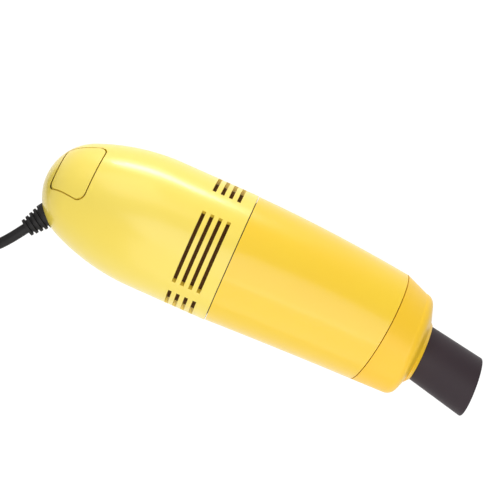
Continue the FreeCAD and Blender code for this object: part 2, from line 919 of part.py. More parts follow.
def make_motor():
    front = -motor_front
    rear = front - S.can_length
    inside = S.motor_radius - S.can_wall
    bush_bore = S.shaft_radius + S.running_gap

    can = turned(
        "motor_can_turn",
        [
            (rear, inside),
            (rear, S.motor_radius),
            (front, S.motor_radius),
            (front, S.bush_radius),
            (front - S.can_wall, S.bush_radius),
            (front - S.can_wall, inside),
        ],
    )
    holes = [
        cylinder(f"can_hole_{side + 1}", S.screw_radius + S.static_gap / 2, S.can_wall * 4,
                 front + S.can_wall, S.motor_screw_offset * side, 0, -Y_AXIS, 90)
        for side in (1, -1)
    ]
    keep("motor_can", cut("motor_can", can, group("can_holes", holes)))

    magnet_length = S.can_length - S.can_wall - S.magnet_setback - S.brush_room
    magnet_x = front - S.can_wall - S.magnet_setback - magnet_length
    halves = []
    for side in (1, -1):
        wedge = doc.addObject("Part::Cylinder", f"magnet_blank_{side + 1}")
        bind(wedge, "Radius", inside - S.static_gap)
        bind(wedge, "Height", magnet_length)
        bind(wedge, "Angle", S.magnet_span)
        start = 90 * side - S.magnet_span.value / 2
        roll = FreeCAD.Rotation(X_AXIS, start + 90)
        wedge.Placement = FreeCAD.Placement(
            Vector(magnet_x.value, 0, 0), roll * FreeCAD.Rotation(Y_AXIS, 90)
        )
        wedge.setExpression("Placement.Base.x", magnet_x.text)
        core = cylinder(f"magnet_core_{side + 1}", inside - S.static_gap - S.magnet_thickness,
                        magnet_length * 2, magnet_x - magnet_length / 2, 0, 0, Y_AXIS, 90)
        halves.append(cut(f"magnet_{side + 1}", wedge, core))
    keep("motor_magnets", group("motor_magnets", halves))

    cap_inner = S.motor_radius - S.can_wall - S.static_gap / 2
    cap_room = cap_inner - 1.6
    cap_rear = rear - S.end_cap_length
    cap_wall = S.end_cap_length / 2
    keep(
        "motor_end_cap",
        turned(
            "motor_end_cap",
            [
                (cap_rear, S.bush_radius),
                (cap_rear, S.motor_radius),
                (rear, S.motor_radius),
                (rear, cap_inner),
                (rear + S.end_cap_plug, cap_inner),
                (rear + S.end_cap_plug, cap_room),
                (cap_rear + cap_wall, cap_room),
                (cap_rear + cap_wall, S.bush_radius),
            ],
        ),
    )
    keep("front_bush", turned("front_bush", tube_path(
        front - S.bush_length + 1, front + 1, bush_bore, S.bush_radius)))
    keep("rear_bush", turned("rear_bush", tube_path(
        cap_rear - 0.5, cap_rear - 0.5 + S.bush_length, bush_bore, S.bush_radius)))

    brush_x = rear + S.end_cap_plug + S.can_wall
    brush_start = S.commutator_radius + S.running_gap
    brushes = []
    for side in (1, -1):
        reach = cap_room - S.static_gap * 1.5
        y = brush_start if side > 0 else -reach
        brushes.append(box(f"brush_{side + 1}", S.brush_width, reach - brush_start, S.brush_width,
                           brush_x - S.brush_width, y, -S.brush_width / 2))
    keep("motor_brushes", group("motor_brushes", brushes))

    terminals = []
    for side in (1, -1):
        terminals.append(box(f"terminal_{side + 1}", S.terminal_length, S.terminal_width,
                             S.terminal_thickness, cap_rear - S.terminal_length,
                             -S.terminal_width / 2,
                             S.terminal_offset * side - S.terminal_thickness / 2))
    keep("motor_terminals", group("motor_terminals", terminals))

    shaft_rear = cap_rear - 1.5
    shaft_front = -S.impeller_disc_x + S.blade_height + 1
    keep("motor_shaft", turned("motor_shaft", [
        (shaft_rear, 0), (shaft_rear, S.shaft_radius), (shaft_front, S.shaft_radius), (shaft_front, 0)]))

    armature_radius = inside - S.static_gap - S.magnet_thickness - S.air_gap
    armature_x = magnet_x + S.armature_margin
    armature_length = magnet_length - S.armature_margin * 2
    stack = new_body("armature")
    revolve(stack, "armature_stack", tube_path(
        armature_x, armature_x + armature_length, S.shaft_radius, armature_radius))
    slot = bar(stack, "armature_slot", armature_x + armature_length, armature_length,
               rectangle(S.armature_slot / 2, armature_radius * 0.3, 0, armature_radius * 0.75),
               cut_away=True)
    spread(stack, slot, ARMATURE_POLES)
    keep("armature", stack)

    commutator_x = armature_x - 1 - S.commutator_length
    keep("commutator", turned("commutator", tube_path(
        commutator_x, commutator_x + S.commutator_length, S.shaft_radius, S.commutator_radius)))


def make_motor_plate():
    front = -S.plate_x
    disc = turned("plate_disc", tube_path(
        front - S.plate_thickness, front, S.bush_radius + S.moving_gap,
        inner_radius + S.flange_depth))
    holes = [
        cylinder(f"plate_hole_{side + 1}", S.screw_radius + S.static_gap / 2, S.plate_thickness * 2,
                 front + 1, S.motor_screw_offset * side, 0, -Y_AXIS, 90)
        for side in (1, -1)
    ]
    keep("motor_plate", cut("motor_plate", disc, group("plate_holes", holes)))

    screws = []
    reach = S.plate_thickness + S.can_wall * 2
    for side in (1, -1):
        y = S.motor_screw_offset * side
        head = cylinder(f"plate_screw_head_{side + 1}", S.screw_head_radius, S.screw_head_height * 0.8,
                        front, y, 0, Y_AXIS, 90)
        shank = cylinder(f"plate_screw_shank_{side + 1}", S.screw_radius, reach,
                         front, y, 0, -Y_AXIS, 90)
        screws.append(fuse(f"plate_screw_{side + 1}", [head, shank]))
    keep("motor_screws", group("motor_screws", screws))


def make_impeller():
    radius = inner_radius - S.impeller_clearance
    face = -S.impeller_disc_x
    back = face - S.impeller_disc
    body = new_body("impeller")
    revolve(
        body,
        "impeller_disc",
        [
            (back - 1.5, S.shaft_radius),
            (back - 1.5, S.impeller_hub_radius),
            (back, S.impeller_hub_radius),
            (back, radius),
            (face, radius),
            (face, S.impeller_hub_radius),
            (face + S.blade_height, S.impeller_hub_radius),
            (face + S.blade_height, S.shaft_radius),
        ],
    )
    blade = bar(body, "blade", face, S.blade_height, rectangle(
        (radius * 0.97 - S.blade_inner_radius) / 2, S.blade_thickness / 2,
        (radius * 0.97 + S.blade_inner_radius) / 2, S.blade_offset + S.blade_thickness / 2))
    spread(body, blade, IMPELLER_BLADES)
    keep("impeller", body)


# Bulkhead, seal and filter

spigot_radius = inner_radius - S.moving_gap
cup_bore = spigot_radius + S.moving_gap * 0.8


def make_bulkhead():
    front = -S.bulkhead_x
    rear = front - S.bulkhead_thickness
    groove = cup_bore - S.running_gap * 1.5 - S.seal_section * 2
    keep("bulkhead", turned("bulkhead", [
        (rear - S.inlet_lip_length, S.inlet_radius),
        (rear - S.inlet_lip_length, S.inlet_radius + S.inlet_lip),
        (rear, S.inlet_radius + S.inlet_lip),
        (rear, inner_radius + S.flange_depth),
        (front, inner_radius + S.flange_depth),
        (front, spigot_radius),
        (S.seal_x - S.seal_section * 1.2, spigot_radius),
        (S.seal_x - S.seal_section * 1.2, groove),
        (S.seal_x + S.seal_section * 1.2, groove),
        (S.seal_x + S.seal_section * 1.2, spigot_radius),
        (S.spigot_length, spigot_radius),
        (S.spigot_length, spigot_radius - S.spigot_wall),
        (front, spigot_radius - S.spigot_wall),
        (front, S.inlet_radius),
    ]))
    seal = doc.addObject("Part::Torus", "cup_seal")
    bind(seal, "Radius1", groove + S.seal_section)
    bind(seal, "Radius2", S.seal_section)
    keep("cup_seal", seal, S.seal_x, axis=Y_AXIS, angle=90)


def make_filter():
    ring_outer = spigot_radius - S.spigot_wall - S.moving_gap
    ring_inner = ring_outer - S.filter_ring_wall
    rear = -S.bulkhead_x + S.static_gap
    shoulder = S.spigot_length + S.static_gap
    flange_outer = spigot_radius - S.filter_flange_inset
    cone_start = shoulder + S.filter_flange
    tip = cone_start + S.filter_length
    tip_outer = S.filter_tip_radius
    body = new_body("filter_frame")
    revolve(body, "filter_ring", [
        (rear, ring_inner), (rear, ring_outer), (shoulder, ring_outer),
        (shoulder, flange_outer), (cone_start, flange_outer), (cone_start, ring_inner)])
    revolve(body, "filter_tip", [
        (tip, 0), (tip, tip_outer), (tip + S.filter_tip_thickness, tip_outer),
        (tip + S.filter_tip_thickness, 0)])
    sketch = new_sketch(body, "filter_rib_outline")
    draw(sketch, [
        (cone_start - S.filter_flange / 2, ring_inner + S.filter_rib_depth),
        (cone_start - S.filter_flange / 2, ring_inner),
        (tip + S.filter_tip_thickness / 2, tip_outer - S.filter_rib_depth),
        (tip + S.filter_tip_thickness / 2, tip_outer)])
    rib = body.newObject("PartDesign::Pad", "filter_rib")
    rib.Profile = sketch
    bind(rib, "Length", S.filter_rib)
    rib.SideType = "Symmetric"
    spread(body, rib, FILTER_RIBS)
    keep("filter_frame", body)

    start_r = ring_inner - S.static_gap
    end_r = tip_outer - S.filter_rib_depth - S.static_gap
    keep("filter_cloth", turned("filter_cloth", [
        (cone_start - S.filter_flange, start_r - S.cloth_thickness),
        (cone_start - S.filter_flange, start_r),
        (tip - S.static_gap, end_r),
        (tip - S.static_gap, end_r - S.cloth_thickness)]))


# Dust cup, nose cap and nozzle


def cup_sections(body, name, inset):
    """Three rings of the cup's surface, that far inside it, from the rear seam to the front."""
    sections = []
    middle = S.cup_length / 2
    rings = [
        (S.seam_gap / 2, as_size(0), cup_rear_radius, as_size(0)),
        (middle, as_size(0), cup_rear_radius - S.cup_mid_taper, as_size(0)),
        (S.cup_length, -S.front_drop, cup_front_radius, S.front_slant),
    ]
    for number, (x, y, radius, slant) in enumerate(rings):
        sketch = new_sketch(
            body, f"{name}_{number}", "YZ_Plane", (y, 0, x), SLANT_AXIS_IN_RING, slant
        )
        draw_circle(sketch, radius - inset)
        sections.append(sketch)
    return sections


def make_cup():
    body = new_body("dust_cup")
    loft(body, "cup_outside", cup_sections(body, "cup_ring", as_size(0)))
    doc.recompute()
    loft(body, "cup_inside", cup_sections(body, "cup_hollow", S.cup_wall), cut_away=True)
    revolve(body, "cup_bore", [
        (-1, 0), (-1, cup_bore), (S.cup_bore_depth, cup_bore), (S.cup_bore_depth, 0)], cut=True)
    keep("dust_cup", body)


def make_nose():
    body = new_body("nose_cap")
    rear = S.seam_gap
    side = S.nose_side_length
    rings = [
        (rear, as_size(0), cup_front_radius, S.front_slant),
        (side, -S.nose_shift, nose_side_radius, as_size(0)),
    ]
    sections = []
    for number, (x, y, radius, slant) in enumerate(rings):
        sketch = new_sketch(
            body, f"nose_ring_{number}", "YZ_Plane", (y, 0, x), SLANT_AXIS_IN_RING, slant
        )
        draw_circle(sketch, radius)
        sections.append(sketch)
    loft(body, "nose_side", sections)

    # The front, measured from the end of the conical side.
    front = (side, -S.nose_shift, 0)
    corner = S.nose_corner_length
    face = corner + S.nose_face_length
    revolve(body, "nose_front", [
        (-S.nose_wall, 0), (-S.nose_wall, nose_corner_radius), (0, nose_side_radius),
        (corner, nose_corner_radius, -S.nose_arc_radius),
        (face, nose_corner_radius - S.nose_face_inset), (face, 0)], base=front)
    spigot_outer = cup_front_radius - S.cup_wall - S.moving_gap
    spigot_inner = spigot_outer - S.nose_spigot_wall
    revolve(body, "nose_spigot", [
        (-S.nose_spigot_length, 0), (-S.nose_spigot_length, spigot_outer),
        (rear * 2, spigot_outer), (rear * 2, 0)], axis=SLANT_AXIS, angle=S.front_slant)

    # Hollow: along the slanted spigot first, then square to the face.
    hollow_step = S.nose_wall * 2
    neck = nose_side_radius - S.nose_wall
    revolve(body, "spigot_hollow", [
        (-S.nose_spigot_length * 2, 0), (-S.nose_spigot_length * 2, spigot_inner),
        (rear, spigot_inner), (side - hollow_step, neck - S.nose_spigot_wall / 3),
        (side - hollow_step, 0)], axis=SLANT_AXIS, angle=S.front_slant, cut=True)
    revolve(body, "front_hollow", [
        (-hollow_step, 0), (-hollow_step, neck), (0, neck),
        (corner - S.nose_wall, nose_corner_radius - S.nose_wall),
        (corner - S.nose_wall, 0)], base=front, cut=True)

    # The sleeve that takes the nozzle's plug, and the flared collar that ends it square.
    pivot = (S.nozzle_pivot_x, -S.nose_shift, 0)
    bore = S.nozzle_plug_radius + S.static_gap
    sleeve = bore + S.collar_wall
    sleeve_start = S.nozzle_stand - S.nozzle_plug_length
    sleeve_end = S.nozzle_stand - S.collar_rise * 2
    revolve(body, "nose_sleeve", [
        (sleeve_start, 0), (sleeve_start, sleeve), (sleeve_end, sleeve), (sleeve_end, 0)],
        pivot, -Z_AXIS, S.nozzle_tilt)
    lip = (nozzle_in_nose_x - S.static_gap * 2, nozzle_in_nose_y, 0)
    revolve(body, "nose_collar", [
        (-S.collar_rise * 2, 0), (-S.collar_rise * 2, sleeve),
        (-S.collar_rise, sleeve + S.collar_flare), (0, sleeve), (0, 0)], base=lip)
    revolve(body, "nose_socket", [
        (-S.nozzle_plug_length * 2, 0), (-S.nozzle_plug_length * 2, bore),
        (S.nozzle_length, bore), (S.nozzle_length, 0)], pivot, -Z_AXIS, S.nozzle_tilt, cut=True)
    keep("nose_cap", body, nose_base_x, nose_base_y)


def make_nozzle():
    body = new_body("nozzle")
    tip = S.nozzle_length
    edge = S.nozzle_edge
    spare = S.nozzle_plug_length / 2
    flare = (S.nozzle_tip_radius - S.nozzle_base_radius) / tip
    beyond = S.nozzle_tip_radius + flare * spare
    reach = S.nozzle_plug_length * 3
    wide = S.nozzle_tip_radius * 2
    revolve(body, "nozzle_tube", [
        (-spare, 0), (-spare, S.nozzle_base_radius - flare * spare),
        (tip + spare, beyond), (tip + spare, 0)])
    # The shoulder is cut parallel to the collar, and the mouth turned a little further.
    revolve(body, "shoulder_cut", [(-reach, 0), (-reach, wide), (0, wide), (0, 0)],
            axis=Z_AXIS, angle=S.nozzle_tilt, cut=True)
    mouth = revolve(body, "mouth_cut", [(0, 0), (0, wide), (reach, wide), (reach, 0)],
                    (tip, 0, 0), Z_AXIS, S.nozzle_tilt + S.mouth_turn, cut=True)
    doc.recompute()
    rim = [
        f"Edge{number}"
        for number, rim_edge in enumerate(mouth.Shape.Edges, start=1)
        if rim_edge.CenterOfMass.x > tip.value / 2 and rim_edge.Length > tip.value * 2
    ]
    rounding = body.newObject("PartDesign::Fillet", "mouth_rounding")
    rounding.Base = (mouth, rim)
    bind(rounding, "Radius", edge)
    revolve(body, "nozzle_plug", [
        (-S.nozzle_plug_length, 0), (-S.nozzle_plug_length, S.nozzle_plug_radius - edge),
        (edge - S.nozzle_plug_length, S.nozzle_plug_radius),
        (spare, S.nozzle_plug_radius), (spare, 0)])
    mouth_end = tip - S.nozzle_mouth_depth
    revolve(body, "nozzle_bore", [
        (-reach, 0), (-reach, S.nozzle_bore_radius), (mouth_end - edge * 2, S.nozzle_bore_radius),
        (mouth_end, S.nozzle_mouth_radius), (tip + spare, S.nozzle_mouth_radius),
        (tip + spare, 0)], cut=True)
    keep("nozzle", body, nozzle_base_x, nozzle_base_y, 0, -Z_AXIS, S.nozzle_tilt)


# Lead, coil and plug, drawn in the part's frame

coil_x = -S.coil_centre_x
coil_y = -S.coil_centre_y
coil_width = S.cord_diameter * S.coil_turns_across
coil_height = S.cord_diameter * S.coil_turns_up
coil_inner = S.coil_mean_radius - coil_width / 2
coil_outer = S.coil_mean_radius + coil_width / 2

# The lead's points, from the tip of the strain relief to the coil's outer turn.
LEAD_POINTS = [
    (-76.6, -18.2, 22.0),
    (-80.0, -23.5, 21.6),
    (-85.2, -29.2, 19.0),
    (-93.0, -33.2, 14.2),
    (-101.5, -34.6, 8.6),
    (-110.5, -33.4, 3.9),
    (-120.0, -30.2, 1.75),
    (-129.0, -27.3, 1.75),
]
# From the top of the coil round to the plug that lies on it.
TAIL_POINTS = [
    (-146.4, 4.0, 8.75),
    (-141.0, 9.6, 9.6),
    (-133.8, 13.0, 11.4),
    (-124.6, 14.6, 13.0),
    (-115.2, 15.6, 13.4),
    (-106.6, 13.0, 13.9),
    (-101.2, 5.9, 14.2),
    (-101.9, -2.9, 14.3),
    (-108.6, -8.4, 14.3),
    (-117.9, -8.4, 14.3),
]


def make_lead():
    diameter = S.cord_diameter.value
    keep_as_placed("cord_lead", tube("cord_lead", LEAD_POINTS, diameter))
    keep_as_placed("cord_tail", tube("cord_tail", TAIL_POINTS, diameter))
    ring = turned("cord_coil", [
        (0, coil_inner), (0, coil_outer), (coil_height, coil_outer), (coil_height, coil_inner)])
    place(ring, coil_x, coil_y, 0, -Y_AXIS, 90)
    keep_as_placed("cord_coil", ring)
    tie_length = coil_width + S.tie_thickness * 2
    band = box("tie_outside", tie_length, S.tie_width, coil_height + S.tie_thickness,
               coil_x + coil_inner - S.tie_thickness, coil_y - S.tie_width / 2, 0)
    hole = box("tie_hole", coil_width, S.tie_width * 2, coil_height - S.tie_thickness,
               coil_x + coil_inner, coil_y - S.tie_width, S.tie_thickness)
    keep_as_placed("cord_tie", cut("cord_tie", band, hole))


plug_x = TAIL_POINTS[-1][0]
plug_y = TAIL_POINTS[-1][1]
plug_z = TAIL_POINTS[-1][2]


def keep_on_plug(name, thing):
    """Places a plug piece, drawn with its x axis from the cord to the contacts."""
    place(thing, plug_x, plug_y, plug_z, Z_AXIS, 180)
    return keep_as_placed(name, thing)


def make_plug():
    boot_start = S.boot_tail
    boot_end = boot_start + S.boot_length
    body = new_body("plug_boot")
    block = bar(body, "boot_block", boot_start, S.boot_length,
                rectangle(S.boot_width / 2, S.boot_height / 2))
    doc.recompute()
    long_edges = [
        f"Edge{number}"
        for number, edge in enumerate(block.Shape.Edges, start=1)
        if abs(edge.tangentAt(edge.FirstParameter).x) > 0.99
    ]
    rounding = body.newObject("PartDesign::Fillet", "boot_rounding")
    rounding.Base = (block, long_edges)
    bind(rounding, "Radius", S.boot_corner)
    revolve(body, "boot_tail", [
        (0, 0), (0, S.cord_diameter * 0.6), (boot_start + 1, S.boot_tail_radius), (boot_start + 1, 0)])
    keep_on_plug("plug_boot", body)

    shell = new_body("plug_shell")
    bar(shell, "shell_block", boot_end, S.plug_length,
        rectangle(S.plug_width / 2, S.plug_height / 2))
    doc.recompute()
    hollow = bar(shell, "shell_hollow", boot_end, S.plug_length,
                 rectangle(S.plug_width / 2 - S.plug_wall, S.plug_height / 2 - S.plug_wall),
                 cut_away=True)
    hollow.Reversed = True
    keep_on_plug("plug_shell", shell)

    tongue = new_body("plug_tongue")
    tongue_top = S.plug_height / 2 - S.plug_wall
    bar(tongue, "tongue_block", boot_end, S.plug_length - 1,
        rectangle(S.plug_width / 2 - S.plug_wall, S.tongue_height / 2, 0,
                  tongue_top - S.tongue_height / 2))
    keep_on_plug("plug_tongue", tongue)

    strips = []
    for index in range(PLUG_CONTACTS):
        y = S.contact_pitch * (index - (PLUG_CONTACTS - 1) / 2)
        strip = new_body(f"contact_{index}")
        bar(strip, f"contact_bar_{index}", boot_end, S.plug_length - 2,
            rectangle(S.contact_width / 2, S.contact_thickness / 2, y,
                      tongue_top - S.tongue_height - S.contact_thickness / 2))
        strips.append(strip)
    keep_on_plug("plug_contacts", group("plug_contacts", strips))


# Wires inside the housing


def wire_points(steps):
    """Points given in the construction frame, moved to the part's frame."""
    return [(x + shift_x.value, y, z + shift_z.value) for x, y, z in steps]


def make_wires():
    diameter = S.wire_diameter.value
    bend = diameter * 2
    solder_x = -(motor_rear + S.terminal_length / 2).value
    edge = (S.terminal_offset + S.terminal_thickness / 2).value + diameter / 2
    heading = math.radians(S.relief_turn.value)
    step_x, step_y = math.cos(heading), math.sin(heading)
    exit_x = -relief_x.value + S.relief_flange_depth.value * step_x
    exit_y = -S.relief_y.value + S.relief_flange_depth.value * step_y
    keep_as_placed("wire_to_motor", tube("wire_to_motor", wire_points([
        (exit_x, exit_y, -diameter),
        (exit_x + bend * step_x, exit_y + bend * step_y, -diameter * 1.2),
        (exit_x + bend * 2, exit_y + bend * 1.7, -edge + bend),
        (solder_x - bend * 1.4, -diameter, -edge - diameter),
        (solder_x, 0.0, -edge),
    ]), diameter))
    board_under = board_height.value - diameter / 2
    turn = math.radians(S.button_turn.value)
    pad_y = bend * math.cos(turn) + board_under * math.sin(turn)
    pad_z = board_under * math.cos(turn) - bend * math.sin(turn)
    keep_as_placed("wire_to_switch", tube("wire_to_switch", wire_points([
        (exit_x, exit_y, diameter),
        (exit_x + bend * step_x, exit_y + bend * step_y, diameter),
        (exit_x + bend * 1.5, exit_y + bend * 2, diameter / 4),
        (-switch_x.value - diameter / 2, pad_y - diameter, pad_z - diameter / 2),
        (-switch_x.value + diameter, pad_y, pad_z),
    ]), diameter))
    keep_as_placed("wire_switch_to_motor", tube("wire_switch_to_motor", wire_points([
        (-switch_x.value + bend, pad_y, pad_z),
        (-switch_x.value + bend * 2, pad_y - diameter, pad_z + diameter / 4),
        (solder_x - bend, -diameter, edge - bend),
        (solder_x - diameter, -diameter, edge),
        (solder_x + diameter / 2, 0.0, edge),
    ]), diameter))


def check_and_write():
    """Stops at any failed feature or bad shape, then writes one STEP file a node."""
    doc.recompute()
    for thing in doc.Objects:
        state = " ".join(thing.State)
        if "Invalid" in state or "Error" in state:
            raise RuntimeError(f"{thing.Name} failed: {state}")
    os.makedirs("parts", exist_ok=True)
    for thing in NODES:
        shape = thing.Shape
        if shape.isNull() or not shape.isValid() or not shape.Solids:
            raise RuntimeError(f"{thing.Label} has no valid solid")
        shape.exportStep(f"parts/{thing.Label}.step")
        print(f"{thing.Label}: {len(shape.Solids)} solid(s), {shape.Volume:.1f} mm3")


make_shells()
make_shell_screws()
make_button()
make_switch()
make_relief()
make_motor()
make_motor_plate()
make_impeller()
make_bulkhead()
make_filter()
make_cup()
make_nose()
make_nozzle()
make_lead()
make_plug()
make_wires()
check_and_write()
print(f"shift {shift_x.value:.3f}, front {front_x.value:.3f}, rear {rear_x.value:.3f}")
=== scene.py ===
import math

import bmesh
import bpy
import numpy as np
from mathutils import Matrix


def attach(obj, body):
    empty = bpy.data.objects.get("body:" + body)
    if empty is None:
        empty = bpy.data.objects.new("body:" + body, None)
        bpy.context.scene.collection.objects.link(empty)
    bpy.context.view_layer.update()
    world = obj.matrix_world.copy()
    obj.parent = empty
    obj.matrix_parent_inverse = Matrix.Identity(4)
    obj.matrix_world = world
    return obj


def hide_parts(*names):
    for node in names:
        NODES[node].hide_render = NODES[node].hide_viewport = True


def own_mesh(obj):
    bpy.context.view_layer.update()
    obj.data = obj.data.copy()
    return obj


# A corded desk vacuum, lying flat: motor housing, dust cup, nose cap and nozzle in a row
# along +X, and its lead coiled behind it. All lengths are in metres.
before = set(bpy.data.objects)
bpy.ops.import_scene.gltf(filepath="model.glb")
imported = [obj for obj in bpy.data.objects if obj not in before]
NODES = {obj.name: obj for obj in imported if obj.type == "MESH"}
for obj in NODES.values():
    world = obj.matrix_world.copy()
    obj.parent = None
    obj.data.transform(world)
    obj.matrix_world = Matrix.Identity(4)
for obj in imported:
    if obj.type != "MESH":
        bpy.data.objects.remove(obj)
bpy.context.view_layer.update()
MM = 0.001


# ---------------------------------------------------------------------------------------------
# Motor housing and power button
# Two halves of glossy yellow moulded plastic, parted at the level of the motor's axis, with the
# exhaust slots round the fan and an opening for the curved push cap that works the switch.
LEMON_YELLOW = (0.94, 0.745, 0.110)
LEMON_SHADE = (0.94, 0.705, 0.080)
YELLOW_ROUGHNESS = 0.27
YELLOW_GLOSS = 0.3
GLOSS_ROUGHNESS = 0.14


def new_group(name, inputs, outputs):
    """An empty shader group: inputs are name: (socket kind, value), outputs name: kind."""
    group = bpy.data.node_groups.new(name, "ShaderNodeTree")
    for socket, (kind, value) in inputs.items():
        made = group.interface.new_socket(name=socket, in_out="INPUT", socket_type=kind)
        made.default_value = value
    for socket, kind in outputs.items():
        group.interface.new_socket(name=socket, in_out="OUTPUT", socket_type=kind)
    return group, group.nodes.new("NodeGroupInput"), group.nodes.new("NodeGroupOutput")


def feed(tree, socket, value):
    """Links a node's output to a socket, or sets the socket to a plain number or colour."""
    if isinstance(value, bpy.types.NodeSocket):
        tree.links.new(value, socket)
    else:
        socket.default_value = (*value, 1.0) if isinstance(value, tuple) else value


def calculate(tree, operation, *values):
    """One step of arithmetic on node outputs or numbers."""
    node = tree.nodes.new("ShaderNodeMath")
    node.operation = operation
    for socket, value in zip(node.inputs, values):
        feed(tree, socket, value)
    return node.outputs[0]


def blend(tree, share, first, second, mode="MIX", kind="RGBA"):
    """From the first to the second as share goes from 0 to 1; both are colours, or numbers."""
    node = tree.nodes.new("ShaderNodeMix")
    node.data_type = kind
    node.blend_type = mode
    for socket, value in (("Factor", share), ("A", first), ("B", second)):
        feed(tree, node.inputs[socket], value)
    return node.outputs["Result"]


def rise(tree, value, start, end, lowest=0.0):
    """Climbs evenly from lowest to 1 while the value goes from start to end."""
    node = tree.nodes.new("ShaderNodeMapRange")
    for socket, number in (("From Min", start), ("From Max", end), ("To Min", lowest)):
        node.inputs[socket].default_value = number
    tree.links.new(value, node.inputs["Value"])
    return node.outputs["Result"]


def texture(tree, kind, place, **values):
    """A texture node of that kind, read at that place, with these inputs fed."""
    node = tree.nodes.new("ShaderNodeTex" + kind)
    tree.links.new(place, node.inputs["Vector"])
    for name, value in values.items():
        feed(tree, node.inputs[name], value)
    return node


def place_in(tree, kind="Object"):
    """The place on the piece, in its own axes or on its map."""
    return tree.nodes.new("ShaderNodeTexCoord").outputs[kind]


def give_out(group, result, **outputs):
    """Links those outputs to the ones that the group shows."""
    for name, output in outputs.items():
        group.links.new(output, result.inputs[name])


def make_moulded_skin():
    """Moulded plastic: slow drifts of shade where it flowed, and a fine even grain."""
    group, given, result = new_group(
        "moulded_skin",
        {
            "Colour": ("NodeSocketColor", (0.5, 0.5, 0.5, 1.0)),
            "Shade": ("NodeSocketColor", (0.4, 0.4, 0.4, 1.0)),
            "Roughness": ("NodeSocketFloat", 0.4),
            "Smudges": ("NodeSocketFloat", 0.08),
        },
        {"Colour": "NodeSocketColor", "Roughness": "NodeSocketFloat", "Height": "NodeSocketFloat"},
    )
    place = place_in(group)
    flow = texture(group, "Noise", place, Scale=22.0).outputs["Fac"]
    drift = rise(group, flow, start=0.35, end=0.75)
    colour = blend(group, drift, given.outputs["Colour"], given.outputs["Shade"])
    smudges = texture(group, "Noise", place, Scale=130.0, Detail=4.0).outputs["Fac"]
    rough = calculate(
        group, "MULTIPLY_ADD", smudges, given.outputs["Smudges"], given.outputs["Roughness"]
    )
    grain = texture(group, "Noise", place, Scale=2600.0).outputs["Fac"]
    give_out(group, result, Colour=colour, Roughness=rough, Height=grain)
    return group


moulded_skin = make_moulded_skin()


def plain_material(name):
    """A material of one Principled shader, its node tree and the shader."""
    material = bpy.data.materials.new(name)
    material.use_nodes = True
    return material, material.node_tree, material.node_tree.nodes["Principled BSDF"]


def use_group(tree, group, **values):
    """A copy of a shader group in the tree, with these inputs set."""
    node = tree.nodes.new("ShaderNodeGroup")
    node.node_tree = group
    for name, value in values.items():
        feed(tree, node.inputs[name], value)
    return node


def raise_surface(tree, shader, height, depth):
    """Feeds a height output to the shader's normal, that many metres deep."""
    bump = tree.nodes.new("ShaderNodeBump")
    bump.inputs["Distance"].default_value = depth
    tree.links.new(height, bump.inputs["Height"])
    tree.links.new(bump.outputs["Normal"], shader.inputs["Normal"])


def cover(tree, shader, skin, depth):
    """Feeds a skin's colour, its roughness if it has one, and its height to the shader."""
    tree.links.new(skin.outputs["Colour"], shader.inputs["Base Color"])
    if "Roughness" in skin.outputs:
        tree.links.new(skin.outputs["Roughness"], shader.inputs["Roughness"])
    raise_surface(tree, shader, skin.outputs["Height"], depth)


def moulded(name, colour, shade, roughness, grain, smudges=0.08):
    """Moulded plastic of that colour, with a grain that many metres deep, and its shader."""
    material, tree, shader = plain_material(name)
    skin = use_group(
        tree, moulded_skin, Colour=colour, Shade=shade, Roughness=roughness, Smudges=smudges
    )
    cover(tree, shader, skin, grain)
    return material, shader


def finish_nodes(material, *names):
    """Gives that material to the CAD pieces of those names."""
    for name in names:
        NODES[name].data.materials.clear()
        NODES[name].data.materials.append(material)


def glossy_yellow(name, colour, shade, roughness=YELLOW_ROUGHNESS, gloss=YELLOW_GLOSS):
    """Polished yellow moulding: the moulded skin under a thin, sharper gloss."""
    material, shader = moulded(name, colour, shade, roughness, grain=4e-6)
    shader.inputs["Coat Weight"].default_value = gloss
    shader.inputs["Coat Roughness"].default_value = GLOSS_ROUGHNESS
    return material


housing_yellow = glossy_yellow("housing_yellow", LEMON_YELLOW, LEMON_SHADE)
finish_nodes(housing_yellow, "upper_shell", "lower_shell", "power_button")


# ---------------------------------------------------------------------------------------------
# Shell screws
# Three cold-formed pan-head screws of zinc-plated steel, driven up from below into the bosses
# of the upper half. The two screws that hold the motor to its plate have the same finish.
ZINC = (0.62, 0.63, 0.64)
LINE_STRETCH = (0.02, 1.0, 1.0)
LINE_ROUGHENING = 0.15


def make_drawn_lines():
    """Metal that was drawn, rolled or turned: fine lines along x, in shade and height."""
    group, given, result = new_group(
        "drawn_lines",
        {
            "Colour": ("NodeSocketColor", (0.6, 0.6, 0.6, 1.0)),
            "Lines": ("NodeSocketFloat", 5000.0),
            "Contrast": ("NodeSocketFloat", 0.25),
            "Roughness": ("NodeSocketFloat", 0.3),
        },
        {"Colour": "NodeSocketColor", "Roughness": "NodeSocketFloat", "Height": "NodeSocketFloat"},
    )
    stretch = group.nodes.new("ShaderNodeMapping")
    stretch.inputs["Scale"].default_value = LINE_STRETCH
    group.links.new(place_in(group), stretch.inputs["Vector"])
    stretched = stretch.outputs["Vector"]
    lines = texture(group, "Noise", stretched, Scale=given.outputs["Lines"], Detail=3.0)
    lines = lines.outputs["Fac"]
    colour = blend(group, given.outputs["Contrast"], given.outputs["Colour"], lines, "MULTIPLY")
    rough = calculate(group, "MULTIPLY_ADD", lines, LINE_ROUGHENING, given.outputs["Roughness"])
    give_out(group, result, Colour=colour, Roughness=rough, Height=lines)
    return group


drawn_lines = make_drawn_lines()


